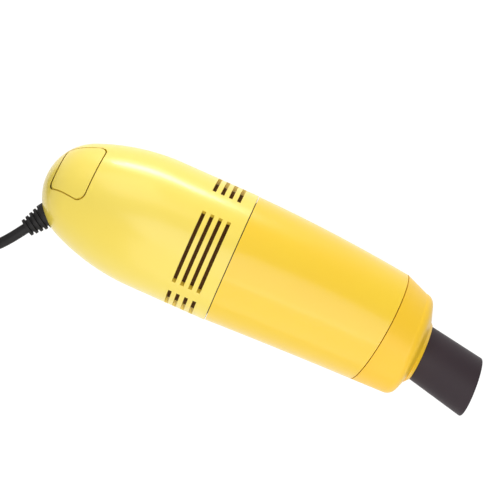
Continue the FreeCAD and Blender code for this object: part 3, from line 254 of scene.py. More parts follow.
def worked_metal(name, colour, roughness, lines=5000.0, contrast=0.25):
    """Bare or plated metal with fine drawn or turned lines."""
    material, tree, shader = plain_material(name)
    skin = use_group(
        tree, drawn_lines, Colour=colour, Lines=lines, Contrast=contrast, Roughness=roughness
    )
    cover(tree, shader, skin, depth=3e-6)
    shader.inputs["Metallic"].default_value = 1.0
    return material


screw_steel = worked_metal("screw_steel", ZINC, roughness=0.28, lines=3000.0)
finish_nodes(screw_steel, "shell_screws", "motor_screws")


# ---------------------------------------------------------------------------------------------
# Push switch, its spring and its board
# A black moulded switch with a white plunger and a coil spring of hard-drawn wire, soldered to
# a strip of brown laminate whose ends rest on ledges inside the two halves.
SWITCH_X = -66.428 * MM
SWITCH_LEAN = math.radians(26.0)
AXIS_HEIGHT = 22.0 * MM
SPRING_LOW = 4.5 * MM
SPRING_HIGH = 6.1 * MM
SPRING_RADIUS = 1.6 * MM
SPRING_WIRE = 0.1 * MM
SPRING_COILS = 3.5
SPRING_CLIMB = 1.24
SPRING_FLAT = 0.12
MERGE_WITHIN = 0.0005 * MM
OFF_THE_PATH = (0.31, 0.17, 0.94)
PAD_DEPTH = 2.0 * MM
PAD_SPREAD = 2.4 * MM
PAD_PLACES = (-2.6 * MM, 2.9 * MM)
BEAD_RADIUS = 0.75 * MM
BEAD_HEIGHT = 0.4 * MM
LAMINATE = (0.46, 0.27, 0.10)
LAMINATE_FIBRE = (0.34, 0.18, 0.06)


def over_the_switch(x, across, depth):
    """Points given along x, across and out along the leaning plunger, as rows of x, y, z."""
    y = depth * math.sin(SWITCH_LEAN) + across * math.cos(SWITCH_LEAN)
    z = AXIS_HEIGHT + depth * math.cos(SWITCH_LEAN) - across * math.sin(SWITCH_LEAN)
    return np.stack([SWITCH_X + x, y, z], axis=-1)


def grid_faces(rows, columns, closed_rows=False, closed_columns=False):
    """Quads between the neighbours of a grid of points, as indexes into its rows."""
    down = np.arange(rows if closed_rows else rows - 1)
    over = np.arange(columns if closed_columns else columns - 1)
    row, column = np.meshgrid(down, over, indexing="ij")
    next_row, next_column = (row + 1) % rows, (column + 1) % columns
    corners = [
        row * columns + column,
        row * columns + next_column,
        next_row * columns + next_column,
        next_row * columns + column,
    ]
    return np.stack(corners, axis=-1).reshape(-1, 4)


def add_piece(name, points, faces, material, body):
    """A smooth mesh piece that rides that body and takes that material.

    Points at one place, as at a rounded end, become one."""
    mesh = bpy.data.meshes.new(name)
    mesh.from_pydata(points.tolist(), [], faces.tolist())
    shape = bmesh.new()
    shape.from_mesh(mesh)
    bmesh.ops.remove_doubles(shape, verts=shape.verts, dist=MERGE_WITHIN)
    shape.to_mesh(mesh)
    shape.free()
    mesh.shade_smooth()
    mesh.materials.append(material)
    piece = bpy.data.objects.new(name, mesh)
    bpy.context.scene.collection.objects.link(piece)
    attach(piece, body)
    return piece


def tube_along(path, radius, sides):
    """A round tube: at each point a ring square to the path, its ends drawn to a point.

    Point = path + radius * (side * cos(turn) + up * sin(turn)). Side is square to the path and
    to a direction that the path never takes, and up is square to both."""
    along = np.gradient(path, axis=0)
    along /= np.linalg.norm(along, axis=1, keepdims=True)
    side = np.cross(along, OFF_THE_PATH)
    side /= np.linalg.norm(side, axis=1, keepdims=True)
    up = np.cross(along, side)
    turn = np.linspace(0.0, 2 * math.pi, sides, endpoint=False)
    swell = np.full(len(path), radius)
    swell[[0, -1]] = 0.0
    ring = side[:, None] * np.cos(turn)[None, :, None] + up[:, None] * np.sin(turn)[None, :, None]
    points = path[:, None] + ring * swell[:, None, None]
    return points.reshape(-1, 3), grid_faces(len(path), sides, closed_columns=True)


def spring_line(steps=220):
    """A helix about the plunger, whose first and last part of a turn lie flat.

    With t from 0 to 1, the turn grows evenly, and the height is climb * t - flat, held between
    0 and 1."""
    share = np.linspace(0.0, 1.0, steps)
    turn = share * SPRING_COILS * 2 * math.pi
    climb = np.clip(share * SPRING_CLIMB - SPRING_FLAT, 0.0, 1.0)
    depth = SPRING_LOW + SPRING_WIRE + climb * (SPRING_HIGH - SPRING_LOW - 2 * SPRING_WIRE)
    return over_the_switch(SPRING_RADIUS * np.cos(turn), SPRING_RADIUS * np.sin(turn), depth)


spring_steel = worked_metal("spring_steel", (0.66, 0.66, 0.67), roughness=0.22, lines=6000.0)
spring_points, spring_faces = tube_along(spring_line(), SPRING_WIRE, sides=10)
spring = add_piece(
    "switch_spring_wire", spring_points, spring_faces, spring_steel, "housing"
)
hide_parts("switch_spring")
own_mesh(spring)

switch_plastic, _ = moulded(
    "switch_plastic", (0.030, 0.030, 0.034), (0.02, 0.02, 0.022), roughness=0.42, grain=6e-6
)
finish_nodes(switch_plastic, "switch_body")
plunger_plastic, _ = moulded(
    "plunger_plastic", (0.80, 0.80, 0.79), (0.74, 0.74, 0.72), roughness=0.38, grain=4e-6
)
finish_nodes(plunger_plastic, "switch_plunger")


def make_laminate():
    """Pressed paper board: short brown fibres lying in every direction under a clear skin."""
    material, tree, shader = plain_material("board_laminate")
    fibres = texture(tree, "Voronoi", place_in(tree), Scale=1400.0)
    fibres.feature = "DISTANCE_TO_EDGE"
    distance = fibres.outputs["Distance"]
    colour = blend(tree, rise(tree, distance, start=0.0, end=0.25), LAMINATE_FIBRE, LAMINATE)
    tree.links.new(colour, shader.inputs["Base Color"])
    raise_surface(tree, shader, distance, depth=2e-5)
    shader.inputs["Roughness"].default_value = 0.46
    return material


finish_nodes(make_laminate(), "switch_board")


def solder_domes(centres, radius, height, rings=7, sides=20):
    """Solder beads hanging under the board: height * (1 - share^2) over a flat round foot."""
    share = np.linspace(1.0, 0.0, rings)
    turn = np.linspace(0.0, 2 * math.pi, sides, endpoint=False)
    reach = np.broadcast_to(share[:, None] * radius, (rings, sides))
    reach = np.concatenate([np.zeros((1, sides)), reach])
    drop = np.concatenate([[0.0], height * (1 - share ** 2)])[:, None]
    points, faces = [], []
    for number, (x, across) in enumerate(centres):
        dome = over_the_switch(
            x + reach * np.cos(turn), across + reach * np.sin(turn), PAD_DEPTH - drop
        )
        points.append(dome.reshape(-1, 3))
        faces.append(
            grid_faces(rings + 1, sides, closed_columns=True)[:, ::-1] + number * dome[..., 0].size
        )
    return np.concatenate(points), np.concatenate(faces)


solder = worked_metal("solder", (0.72, 0.72, 0.70), roughness=0.2, lines=2500.0, contrast=0.1)
pad_spots = [(x, across) for x in PAD_PLACES for across in (-PAD_SPREAD, PAD_SPREAD)]
bead_points, bead_faces = solder_domes(pad_spots, BEAD_RADIUS, BEAD_HEIGHT)
add_piece("switch_solder", bead_points, bead_faces, solder, "housing")


# ---------------------------------------------------------------------------------------------
# Motor
# A small brushed motor: a drawn steel can over two ferrite magnets, a white end cap with the
# carbon brushes and brass terminals, and a wound three-pole armature on a ground steel shaft.
STACK_START = -45.928 * MM
STACK_END = -33.928 * MM
POLES = 3
FIRST_POLE = math.radians(60.0)
WINDING_WIRE = 0.34 * MM
WINDING_INNER = 2.1 * MM
WINDING_PITCH = 0.40 * MM
WINDING_OVERHANG = 0.5 * MM
WINDING_CORNER = 12
SLOT_ROOM = 1.1 * MM
SHEET_SCALE = 320.0
SHEET_JOINT = (0.10, 0.095, 0.09)
SHEET_IRON = (0.36, 0.35, 0.34)
COMMUTATOR_BARS = 3
BAR_JOINT = 0.09
BAR_COPPER = (0.78, 0.37, 0.20)
BAR_INSULATION = (0.03, 0.02, 0.02)
COPPER_ENAMEL = (0.50, 0.155, 0.050)

can_steel = worked_metal(
    "can_steel", (0.60, 0.60, 0.62), roughness=0.30, lines=2200.0, contrast=0.18
)
finish_nodes(can_steel, "motor_can")
shaft_steel = worked_metal(
    "shaft_steel", (0.68, 0.68, 0.69), roughness=0.16, lines=7000.0, contrast=0.12
)
finish_nodes(shaft_steel, "motor_shaft")
contact_brass = worked_metal(
    "contact_brass", (0.80, 0.58, 0.24), roughness=0.24, lines=4000.0, contrast=0.15
)
finish_nodes(contact_brass, "motor_terminals", "plug_contacts")
end_cap_plastic, _ = moulded(
    "end_cap_plastic", (0.78, 0.77, 0.73), (0.72, 0.71, 0.66), roughness=0.45, grain=6e-6
)
finish_nodes(end_cap_plastic, "motor_end_cap")


def make_sintered():
    """Pressed and sintered powder: pores as dark specks of many sizes in a dull ground."""
    group, given, result = new_group(
        "sintered",
        {
            "Colour": ("NodeSocketColor", (0.3, 0.3, 0.3, 1.0)),
            "Pores": ("NodeSocketFloat", 3000.0),
        },
        {"Colour": "NodeSocketColor", "Height": "NodeSocketFloat"},
    )
    pores = given.outputs["Pores"]
    specks = texture(group, "Noise", place_in(group), Scale=pores, Detail=6.0, Roughness=0.75)
    ground = rise(group, specks.outputs["Fac"], start=0.3, end=0.6, lowest=0.55)
    colour = blend(group, 1.0, given.outputs["Colour"], ground, "MULTIPLY")
    give_out(group, result, Colour=colour, Height=ground)
    return group


sintered = make_sintered()


def pressed_powder(name, colour, roughness, metallic, pores=3000.0):
    """Sintered magnet, bush or brush material."""
    material, tree, shader = plain_material(name)
    skin = use_group(tree, sintered, Colour=colour, Pores=pores)
    cover(tree, shader, skin, depth=2e-5)
    shader.inputs["Roughness"].default_value = roughness
    shader.inputs["Metallic"].default_value = metallic
    return material


magnet_ferrite = pressed_powder(
    "magnet_ferrite", (0.075, 0.075, 0.082), roughness=0.62, metallic=0.0
)
finish_nodes(magnet_ferrite, "motor_magnets")
bush_bronze = pressed_powder("bush_bronze", (0.62, 0.42, 0.20), roughness=0.42, metallic=1.0)
finish_nodes(bush_bronze, "front_bush", "rear_bush")
brush_carbon = pressed_powder(
    "brush_carbon", (0.035, 0.035, 0.037), roughness=0.5, metallic=0.0, pores=5000.0
)
finish_nodes(brush_carbon, "motor_brushes")


def make_stack_iron():
    """Stamped sheets stacked along the shaft: an even dark line between each two sheets."""
    material, tree, shader = plain_material("armature_iron")
    sheets = texture(tree, "Wave", place_in(tree), Scale=SHEET_SCALE)
    sheets.bands_direction = "X"
    colour = blend(tree, sheets.outputs["Fac"], SHEET_JOINT, SHEET_IRON)
    tree.links.new(colour, shader.inputs["Base Color"])
    raise_surface(tree, shader, sheets.outputs["Fac"], depth=3e-5)
    shader.inputs["Metallic"].default_value = 0.9
    shader.inputs["Roughness"].default_value = 0.4
    return material


finish_nodes(make_stack_iron(), "armature")


def make_commutator_copper():
    """Copper bars round a sleeve, with dark insulation in the joints between them.

    A joint is where |cos(bars / 2 * angle)| is near 0, with the angle about the shaft."""
    material, tree, shader = plain_material("commutator_copper")
    split = tree.nodes.new("ShaderNodeSeparateXYZ")
    tree.links.new(place_in(tree), split.inputs["Vector"])
    level = calculate(tree, "SUBTRACT", split.outputs["Z"], AXIS_HEIGHT)
    angle = calculate(tree, "ARCTAN2", level, split.outputs["Y"])
    swing = calculate(tree, "COSINE", calculate(tree, "MULTIPLY", angle, COMMUTATOR_BARS / 2))
    joint = calculate(tree, "LESS_THAN", calculate(tree, "ABSOLUTE", swing), BAR_JOINT)
    colour = blend(tree, joint, BAR_COPPER, BAR_INSULATION)
    tree.links.new(colour, shader.inputs["Base Color"])
    shader.inputs["Metallic"].default_value = 1.0
    shader.inputs["Roughness"].default_value = 0.25
    return material


finish_nodes(make_commutator_copper(), "commutator")


def superellipse(turn, power):
    """Points on |x|^power + |y|^power = 1 in the directions turn, as two arrays."""
    reach = (np.abs(np.cos(turn)) ** power + np.abs(np.sin(turn)) ** power) ** (-1 / power)
    return reach * np.cos(turn), reach * np.sin(turn)


def coil_of_pole(middle, layers=6, loop=96, sides=8):
    """Windings on one pole: wires side by side, each a rounded rectangle about the pole.

    A wire's loop is |x/a|^12 + |t/b|^12 = 1 around the pole's own direction. Each next loop
    lies further out, and b grows so that its sides stay in the slots beside the pole."""
    turn = np.linspace(0.0, 2 * math.pi, loop, endpoint=False)
    loop_x, loop_t = superellipse(turn, WINDING_CORNER)
    x = (STACK_START + STACK_END) / 2
    x = x + ((STACK_END - STACK_START) / 2 + WINDING_OVERHANG) * loop_x
    pole = np.array([0.0, math.cos(middle), math.sin(middle)])
    beside = np.array([0.0, -math.sin(middle), math.cos(middle)])
    around = np.linspace(0.0, 2 * math.pi, sides, endpoint=False)
    points, faces = [], []
    for layer in range(layers):
        out = WINDING_INNER + layer * WINDING_PITCH
        half_width = out * math.tan(math.pi / POLES) - SLOT_ROOM
        line = np.stack([x, np.zeros(loop), np.full(loop, AXIS_HEIGHT)], axis=-1)
        line = line + half_width * loop_t[:, None] * beside + out * pole
        along = np.roll(line, -1, axis=0) - np.roll(line, 1, axis=0)
        along /= np.linalg.norm(along, axis=1, keepdims=True)
        away = np.cross(along, pole)
        ring = away[:, None] * np.cos(around)[None, :, None] + pole * np.sin(around)[None, :, None]
        points.append((line[:, None] + ring * WINDING_WIRE).reshape(-1, 3))
        faces.append(
            grid_faces(loop, sides, closed_rows=True, closed_columns=True)[:, ::-1]
            + layer * loop * sides
        )
    return np.concatenate(points), np.concatenate(faces)


def make_windings():
    """The three poles' windings in one mesh."""
    points, faces, start = [], [], 0
    for pole in range(POLES):
        some_points, some_faces = coil_of_pole(FIRST_POLE + pole * 2 * math.pi / POLES)
        points.append(some_points)
        faces.append(some_faces + start)
        start += len(some_points)
    return np.concatenate(points), np.concatenate(faces)


winding_copper = worked_metal(
    "winding_enamel", COPPER_ENAMEL, roughness=0.22, lines=3000.0, contrast=0.2
)
winding_points, winding_faces = make_windings()
add_piece(
    "armature_windings",
    winding_points,
    winding_faces,
    winding_copper,
    "rotor",
)


# ---------------------------------------------------------------------------------------------
# Fan, motor plate and bulkhead
# A dark moulded impeller pressed on the shaft, the plate that the motor is screwed to, and the
# bulkhead whose spigot carries the cup, held in grooves between the two halves of the housing.
frame_plastic, _ = moulded(
    "frame_plastic", (0.040, 0.040, 0.044), (0.03, 0.03, 0.032), roughness=0.44, grain=8e-6
)
finish_nodes(frame_plastic, "motor_plate", "bulkhead")
impeller_plastic, _ = moulded(
    "impeller_plastic", (0.016, 0.015, 0.016), (0.012, 0.011, 0.012), roughness=0.40, grain=5e-6
)
finish_nodes(impeller_plastic, "impeller")


# ---------------------------------------------------------------------------------------------
# Exhaust foam, as painted shade behind the slots
# A strip of dark brown open-cell foam round the inside of the housing behind the slots. It is
# painted shade: its brown stands for the yellow housing's inside in shadow, seen through them.
FOAM_START = -26.9 * MM
FOAM_END = -15.7 * MM
FOAM_OUTSIDE = 19.97 * MM
FOAM_INSIDE = 18.6 * MM
FOAM_CELL = 0.04 * MM
CELLS_ROUND = 97
CELLS_ALONG = 61
CELL_LEAN = (5, 7)
# Painted shade: the brown that the yellow housing's inside shows in shadow through the slots.
SLOT_SHADE_BROWN = (0.110, 0.052, 0.016)


def make_foam_ring(along=40, around=420):
    """Outer and inner face of the ring as one closed skin, pitted by its cells.

    Radius = face - cell * (1 + sin(97 a + 5 t) * sin(61 t + 7 a)), with t along the strip
    from 0 to 1, and a the angle round it."""
    share = np.concatenate([np.linspace(0, 1, along), np.linspace(1, 0, along)])[:, None]
    face = np.repeat([FOAM_OUTSIDE, FOAM_INSIDE], along)[:, None]
    angle = np.linspace(0.0, 2 * math.pi, around, endpoint=False)[None, :]
    cells = np.sin(CELLS_ROUND * angle + CELL_LEAN[0] * share)
    cells = cells * np.sin(CELLS_ALONG * share + CELL_LEAN[1] * angle)
    radius = face - FOAM_CELL * (1 + cells)
    x = np.broadcast_to(FOAM_START + (FOAM_END - FOAM_START) * share, radius.shape)
    points = np.stack([x, radius * np.cos(angle), AXIS_HEIGHT + radius * np.sin(angle)], axis=-1)
    return points.reshape(-1, 3), grid_faces(
        2 * along, around, closed_rows=True, closed_columns=True
    )


def make_slot_shade_foam():
    """Painted shade for the slots: open-cell foam in the brown of the housing's shaded inside,
    with round pores of many sizes, painted darker inside, in a soft dull ground.
    """
    material, tree, shader = plain_material("slot_shade_foam")
    skin = use_group(tree, sintered, Colour=SLOT_SHADE_BROWN, Pores=1500.0)
    tree.links.new(skin.outputs["Colour"], shader.inputs["Base Color"])
    cells = texture(tree, "Voronoi", place_in(tree), Scale=1100.0)
    raise_surface(tree, shader, cells.outputs["Distance"], depth=3e-4)
    shader.inputs["Roughness"].default_value = 0.95
    shader.inputs["Specular IOR Level"].default_value = 0.15
    return material


# The brown ring is painted shade behind the slots, where the housing's inside lies in shadow.
foam_points, foam_faces = make_foam_ring()
foam = add_piece(
    "slot_shade_foam", foam_points, foam_faces, make_slot_shade_foam(), "housing"
)


# ---------------------------------------------------------------------------------------------
# Leads inside the housing
# Stranded copper in soft extruded PVC, soldered at each end: a black lead from the strain
# relief to the switch, and red ones from the switch and the strain relief to the motor.
wire_red, _ = moulded(
    "wire_red", (0.42, 0.014, 0.012), (0.34, 0.010, 0.010), roughness=0.34, grain=4e-6
)
wire_black, _ = moulded(
    "wire_black", (0.020, 0.020, 0.021), (0.014, 0.014, 0.015), roughness=0.36, grain=4e-6
)
finish_nodes(wire_red, "wire_to_motor", "wire_switch_to_motor")
finish_nodes(wire_black, "wire_to_switch")


# ---------------------------------------------------------------------------------------------
# Cup seal
# A soft black ring of moulded rubber, stretched into its groove round the bulkhead's spigot,
# where it seals the dust cup and holds it by its grip.
RUBBER_SPECULAR = 0.22


def make_rubber_skin():
    """Soft rubber: a faint pale bloom in patches, and a fine pebbled surface."""
    group, given, result = new_group(
        "rubber_skin",
        {
            "Colour": ("NodeSocketColor", (0.02, 0.02, 0.02, 1.0)),
            "Bloom": ("NodeSocketColor", (0.05, 0.05, 0.05, 1.0)),
        },
        {"Colour": "NodeSocketColor", "Height": "NodeSocketFloat"},
    )
    place = place_in(group)
    bloom = texture(group, "Noise", place, Scale=180.0, Detail=5.0).outputs["Fac"]
    patches = rise(group, bloom, start=0.45, end=0.8)
    colour = blend(group, patches, given.outputs["Colour"], given.outputs["Bloom"])
    pebbles = texture(group, "Voronoi", place, Scale=3200.0).outputs["Distance"]
    give_out(group, result, Colour=colour, Height=pebbles)
    return group


rubber_skin = make_rubber_skin()


def rubber(name, colour, bloom, roughness):
    """Matte rubber of that colour and bloom."""
    material, tree, shader = plain_material(name)
    skin = use_group(tree, rubber_skin, Colour=colour, Bloom=bloom)
    cover(tree, shader, skin, depth=1.2e-5)
    shader.inputs["Roughness"].default_value = roughness
    shader.inputs["Specular IOR Level"].default_value = RUBBER_SPECULAR
    return material


seal_rubber = rubber("seal_rubber", (0.014, 0.014, 0.014), (0.03, 0.03, 0.03), roughness=0.6)
finish_nodes(seal_rubber, "cup_seal")


# ---------------------------------------------------------------------------------------------
# Filter
# A white moulded frame of a ring, six ribs and a tip, with a cone of plain-woven cloth welded
# inside it; the air drawn through the cloth has pulled it a little inwards between the ribs.
CLOTH_START = -5.78 * MM
CLOTH_END = 12.22 * MM
CLOTH_START_RADIUS = 16.15 * MM
CLOTH_END_RADIUS = 9.55 * MM
CLOTH_THICKNESS = 0.5 * MM
CLOTH_SAG = 1.1 * MM
CLOTH_CREASE = 0.16 * MM
CLOTH_SLACK = 0.7
CREASES_ROUND = 66
CREASE_LEAN = 9
FILTER_RIBS = 6
NEAR_SEAM = (0.25, 0.75)

filter_plastic, _ = moulded(
    "filter_plastic", (0.74, 0.74, 0.71), (0.68, 0.67, 0.63), roughness=0.42, grain=6e-6
)
finish_nodes(filter_plastic, "filter_frame")


def make_cloth_cone(along=44, around=432):
    """The cone's two faces as one closed skin, folded over at both ends.

    Radius = cone - sag * slack * sin(3 a)^2 - crease * slack * (1 + sin(66 a + 9 t)), with t
    along the cone from 0 to 1, a the angle from a rib, and slack = sin(pi * t)^0.7. The inner
    face lies one thickness further in."""
    share = np.concatenate([np.linspace(0, 1, along), np.linspace(1, 0, along)])[:, None]
    lining = np.repeat([0.0, CLOTH_THICKNESS], along)[:, None]
    angle = np.linspace(0.0, 2 * math.pi, around, endpoint=False)[None, :]
    slack = np.sin(math.pi * share) ** CLOTH_SLACK
    radius = CLOTH_START_RADIUS + (CLOTH_END_RADIUS - CLOTH_START_RADIUS) * share - lining
    radius = radius - CLOTH_SAG * slack * np.sin(FILTER_RIBS / 2 * angle) ** 2
    creases = 1 + np.sin(CREASES_ROUND * angle + CREASE_LEAN * share)
    radius = radius - CLOTH_CREASE * slack * creases
    x = np.broadcast_to(CLOTH_START + (CLOTH_END - CLOTH_START) * share, radius.shape)
    points = np.stack([x, radius * np.cos(angle), AXIS_HEIGHT + radius * np.sin(angle)], axis=-1)
    return points, share, angle


def make_woven():
    """Plain weave: threads cross over and under in turn, in colour and height."""
    group, given, result = new_group(
        "woven",
        {
            "Across": ("NodeSocketFloat", 150.0),
            "Along": ("NodeSocketFloat", 30.0),
            "Thread": ("NodeSocketColor", (0.8, 0.8, 0.75, 1.0)),
            "Gap": ("NodeSocketColor", (0.4, 0.4, 0.37, 1.0)),
        },
        {"Colour": "NodeSocketColor", "Height": "NodeSocketFloat"},
    )
    split = group.nodes.new("ShaderNodeSeparateXYZ")
    group.links.new(place_in(group, "UV"), split.inputs["Vector"])
    swings = []
    for axis, count in (("X", "Across"), ("Y", "Along")):
        turns = calculate(group, "MULTIPLY", split.outputs[axis], given.outputs[count])
        swings.append(calculate(group, "SINE", calculate(group, "MULTIPLY", turns, 2 * math.pi)))
    which = calculate(group, "GREATER_THAN", calculate(group, "MULTIPLY", *swings), 0.0)
    across, along = (calculate(group, "ABSOLUTE", swing) for swing in swings)
    height = blend(group, which, across, along, kind="FLOAT")
    colour = blend(group, height, given.outputs["Gap"], given.outputs["Thread"])
    give_out(group, result, Colour=colour, Height=height)
    return group


def make_filter_fabric():
    """Off-white filter cloth."""
    material, tree, shader = plain_material("filter_fabric")
    weave = use_group(
        tree,
        make_woven(),
        Across=190.0,
        Along=38.0,
        Thread=(0.80, 0.79, 0.74),
        Gap=(0.36, 0.35, 0.31),
    )
    cover(tree, shader, weave, depth=1.2e-4)
    shader.inputs["Roughness"].default_value = 0.9
    shader.inputs["Specular IOR Level"].default_value = 0.2
    return material


cloth_points, cloth_share, cloth_angle = make_cloth_cone()
cloth_faces = grid_faces(*cloth_points.shape[:2], closed_rows=True, closed_columns=True)
cloth = add_piece(
    "filter_cloth_cone",
    cloth_points.reshape(-1, 3),
    cloth_faces,
    make_filter_fabric(),
    "filter",
)
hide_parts("filter_cloth")
cloth_u = np.broadcast_to(cloth_angle / (2 * math.pi), cloth_points.shape[:2]).reshape(-1)
cloth_v = np.broadcast_to(cloth_share, cloth_points.shape[:2]).reshape(-1)
corner_u = cloth_u[cloth_faces].copy()
over_seam = corner_u.max(axis=1, keepdims=True) > NEAR_SEAM[1]
corner_u[(corner_u < NEAR_SEAM[0]) & over_seam] += 1.0
cloth_map = np.stack([corner_u, cloth_v[cloth_faces]], axis=-1).reshape(-1)
cloth.data.uv_layers.new(name="weave").data.foreach_set("uv", cloth_map.astype(np.float32))


# ---------------------------------------------------------------------------------------------
# Dust cup and nose cap
# Thin shells of the housing's plastic in a slightly deeper yellow: the cup tapers to a slanted
# front edge, and the rounded nose cap, moulded a little duller, plugs into it and carries the
# nozzle's collar.
AMBER_YELLOW = (0.93, 0.625, 0.018)
AMBER_SHADE = (0.93, 0.590, 0.013)
NOSE_YELLOW = (0.95, 0.585, 0.014)
NOSE_SHADE = (0.95, 0.555, 0.011)
NOSE_ROUGHNESS = 0.38
NOSE_GLOSS = 0.12

cup_yellow = glossy_yellow("cup_yellow", AMBER_YELLOW, AMBER_SHADE)
finish_nodes(cup_yellow, "dust_cup")
nose_yellow = glossy_yellow("nose_yellow", NOSE_YELLOW, NOSE_SHADE, NOSE_ROUGHNESS, NOSE_GLOSS)
finish_nodes(nose_yellow, "nose_cap")


# ---------------------------------------------------------------------------------------------
# Nozzle
# A short tube of dark plastic, moulded with a fine grain and pushed by its spigot into the nose
# cap's collar at a slight angle.
NOZZLE_DARK = (0.029, 0.018, 0.023)
NOZZLE_SHADE = (0.022, 0.013, 0.017)
NOZZLE_SPECULAR = 0.23

nozzle_plastic, nozzle_shader = moulded(
    "nozzle_plastic", NOZZLE_DARK, NOZZLE_SHADE, roughness=0.46, grain=1.2e-5, smudges=0.12
)
nozzle_shader.inputs["Specular IOR Level"].default_value = NOZZLE_SPECULAR
finish_nodes(nozzle_plastic, "nozzle")


# ---------------------------------------------------------------------------------------------
# Cable tie
# A toothed strap and its head, moulded in one of black nylon. It is drawn tight round the wound
# lead by hand and locked in its own head.
TIE_LOW = (-118.85 * MM, 0.0)
TIE_HIGH = (-107.15 * MM, 11.1 * MM)
TIE_MIDDLE_Y = -4.0 * MM
TIE_WIDTH = 5.0 * MM
TIE_THICKNESS = 0.6 * MM
TIE_TOOTH = 0.09 * MM
TIE_TEETH = 66
TIE_LOOP_CORNER = 9
TIE_EDGE_CORNER = 5
TIE_HEAD_CORNER = 6
TIE_HEAD = (2.7 * MM, 6.0 * MM, 4.6 * MM)
TIE_HEAD_OUT = 1.1 * MM

tie_plastic, _ = moulded(
    "tie_plastic", (0.013, 0.013, 0.014), (0.009, 0.009, 0.010), roughness=0.34, grain=1e-5
)


def make_strap(around=264, section=20):
    """The strap: a flat rounded section carried round a rounded rectangle.

    The loop is |x/a|^9 + |z/b|^9 = 1, and the section |across|^5 + |out|^5 = 1. Its outer face
    is cut down by tooth * (1 - sin(66 a)), with a the angle round the loop."""
    turn = np.linspace(0.0, 2 * math.pi, around, endpoint=False)
    half = (np.array(TIE_HIGH) - np.array(TIE_LOW)) / 2
    middle = (np.array(TIE_HIGH) + np.array(TIE_LOW)) / 2
    loop_x, loop_z = superellipse(turn, TIE_LOOP_CORNER)
    edge = np.linspace(0.0, 2 * math.pi, section, endpoint=False)
    across, out = superellipse(edge, TIE_EDGE_CORNER)
    deep = TIE_THICKNESS * (out - 1) / 2
    teeth = TIE_TOOTH * (np.sin(TIE_TEETH * turn)[:, None] - 1) * (out > 0)[None, :]
    x = middle[0] + loop_x[:, None] * (half[0] + deep[None, :] + teeth)
    z = middle[1] + loop_z[:, None] * (half[1] + deep[None, :] + teeth)
    y = np.broadcast_to(TIE_MIDDLE_Y + across[None, :] * TIE_WIDTH / 2, x.shape)
    points = np.stack([x, y, z], axis=-1).reshape(-1, 3)
    return points, grid_faces(around, section, closed_rows=True, closed_columns=True)[:, ::-1]


def make_tie_head(rings=25, sides=48):
    """The head: a rounded block, |x/a|^6 + |y/b|^6 + |z/c|^6 = 1 on a sphere's grid."""
    tilt = np.linspace(-math.pi / 2, math.pi / 2, rings)[:, None]
    turn = np.linspace(0.0, 2 * math.pi, sides, endpoint=False)[None, :]
    level = np.cos(tilt)
    way = np.stack([level * np.cos(turn), level * np.sin(turn), np.sin(tilt) + 0 * turn], axis=-1)
    reach = (np.abs(way) ** TIE_HEAD_CORNER).sum(axis=-1, keepdims=True) ** (-1 / TIE_HEAD_CORNER)
    centre = (TIE_HIGH[0] + TIE_HEAD_OUT, TIE_MIDDLE_Y, (TIE_LOW[1] + TIE_HIGH[1]) / 2)
    points = reach * way * np.array(TIE_HEAD) / 2 + np.array(centre)
    return points.reshape(-1, 3), grid_faces(rings, sides, closed_columns=True)


strap_points, strap_faces = make_strap()
strap = add_piece("tie_strap", strap_points, strap_faces, tie_plastic, "housing")
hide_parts("cord_tie")
head_points, head_faces = make_tie_head()
tie_head = add_piece("tie_head", head_points, head_faces, tie_plastic, "housing")


# ---------------------------------------------------------------------------------------------
# Strain relief, plug boot and lead
# Black rubber: a ribbed sleeve set in the housing's flank, one long lead wound behind the body
# in three layers, just over eight turns in all, and the boot moulded on its plug. Points along
# the lead are in millimetres.
LEAD_DIAMETER = 3.5 * MM
LEAD_ROUTE = (
    (-76.6, -18.2, 22.0),
    (-80.0, -23.5, 21.6),
    (-85.2, -29.2, 19.0),
    (-93.0, -33.2, 14.2),
    (-101.5, -34.6, 8.6),
    (-110.5, -33.4, 3.9),
    (-120.0, -30.2, 1.75),
)
TAIL_ROUTE = (
    (-141.0, 9.6, 9.6),
    (-133.8, 13.0, 11.4),
    (-124.6, 14.6, 13.0),
    (-115.2, 15.6, 13.4),
    (-106.6, 13.0, 13.9),
    (-101.2, 5.9, 14.2),
    (-101.9, -2.9, 14.3),
    (-108.6, -8.4, 14.3),
    (-117.9, -8.4, 14.3),
)
COIL_CENTRE = (-132.5, -4.0)
COIL_START = -81.5
COIL_TURNS = 8.357
LANES = (22.97, 19.47, 15.97, 15.97, 19.47, 22.97, 22.97, 19.47, 15.97, 15.97)
LAYERS = (1.75, 1.75, 1.75, 5.25, 5.25, 5.25, 8.75, 8.75, 8.75, 8.75)
POINTS_PER_TURN = 36
LANE_CHANGE = (0.48, 0.80)
LAYER_CHANGE = (0.80, 1.0)

cord_rubber = rubber(
    "cord_rubber", (0.007, 0.006, 0.006), (0.014, 0.013, 0.013), roughness=0.50
)
finish_nodes(cord_rubber, "strain_relief", "plug_boot")


def smooth_step(value, start, end):
    """0 before start, 1 after end, and an easy curve between them."""
    share = np.clip((value - start) / (end - start), 0.0, 1.0)
    return share * share * (3 - 2 * share)


def coil_route():
    """The wound part: each turn keeps its lane, then moves over to the next turn's lane.

    It moves sideways first, and between two layers straight up, so that no turn meets
    another. The radius is that of the curve, which cuts the route's corners."""
    count = int(COIL_TURNS * POINTS_PER_TURN)
    turns = np.linspace(0.0, COIL_TURNS, count + 1)
    number = np.minimum(turns.astype(int), len(LANES) - 2)
    part = turns - number
    lanes, layers = np.array(LANES), np.array(LAYERS)
    radius = lanes[number] + (lanes[number + 1] - lanes[number]) * smooth_step(part, *LANE_CHANGE)
    height = layers[number] + (layers[number + 1] - layers[number]) * smooth_step(
        part, *LAYER_CHANGE
    )
    radius = radius / math.cos(math.pi / POINTS_PER_TURN)
    angle = np.radians(COIL_START - 360.0 * turns)
    x = COIL_CENTRE[0] + radius * np.cos(angle)
    y = COIL_CENTRE[1] + radius * np.sin(angle)
    return np.stack([x, y, height], axis=-1)


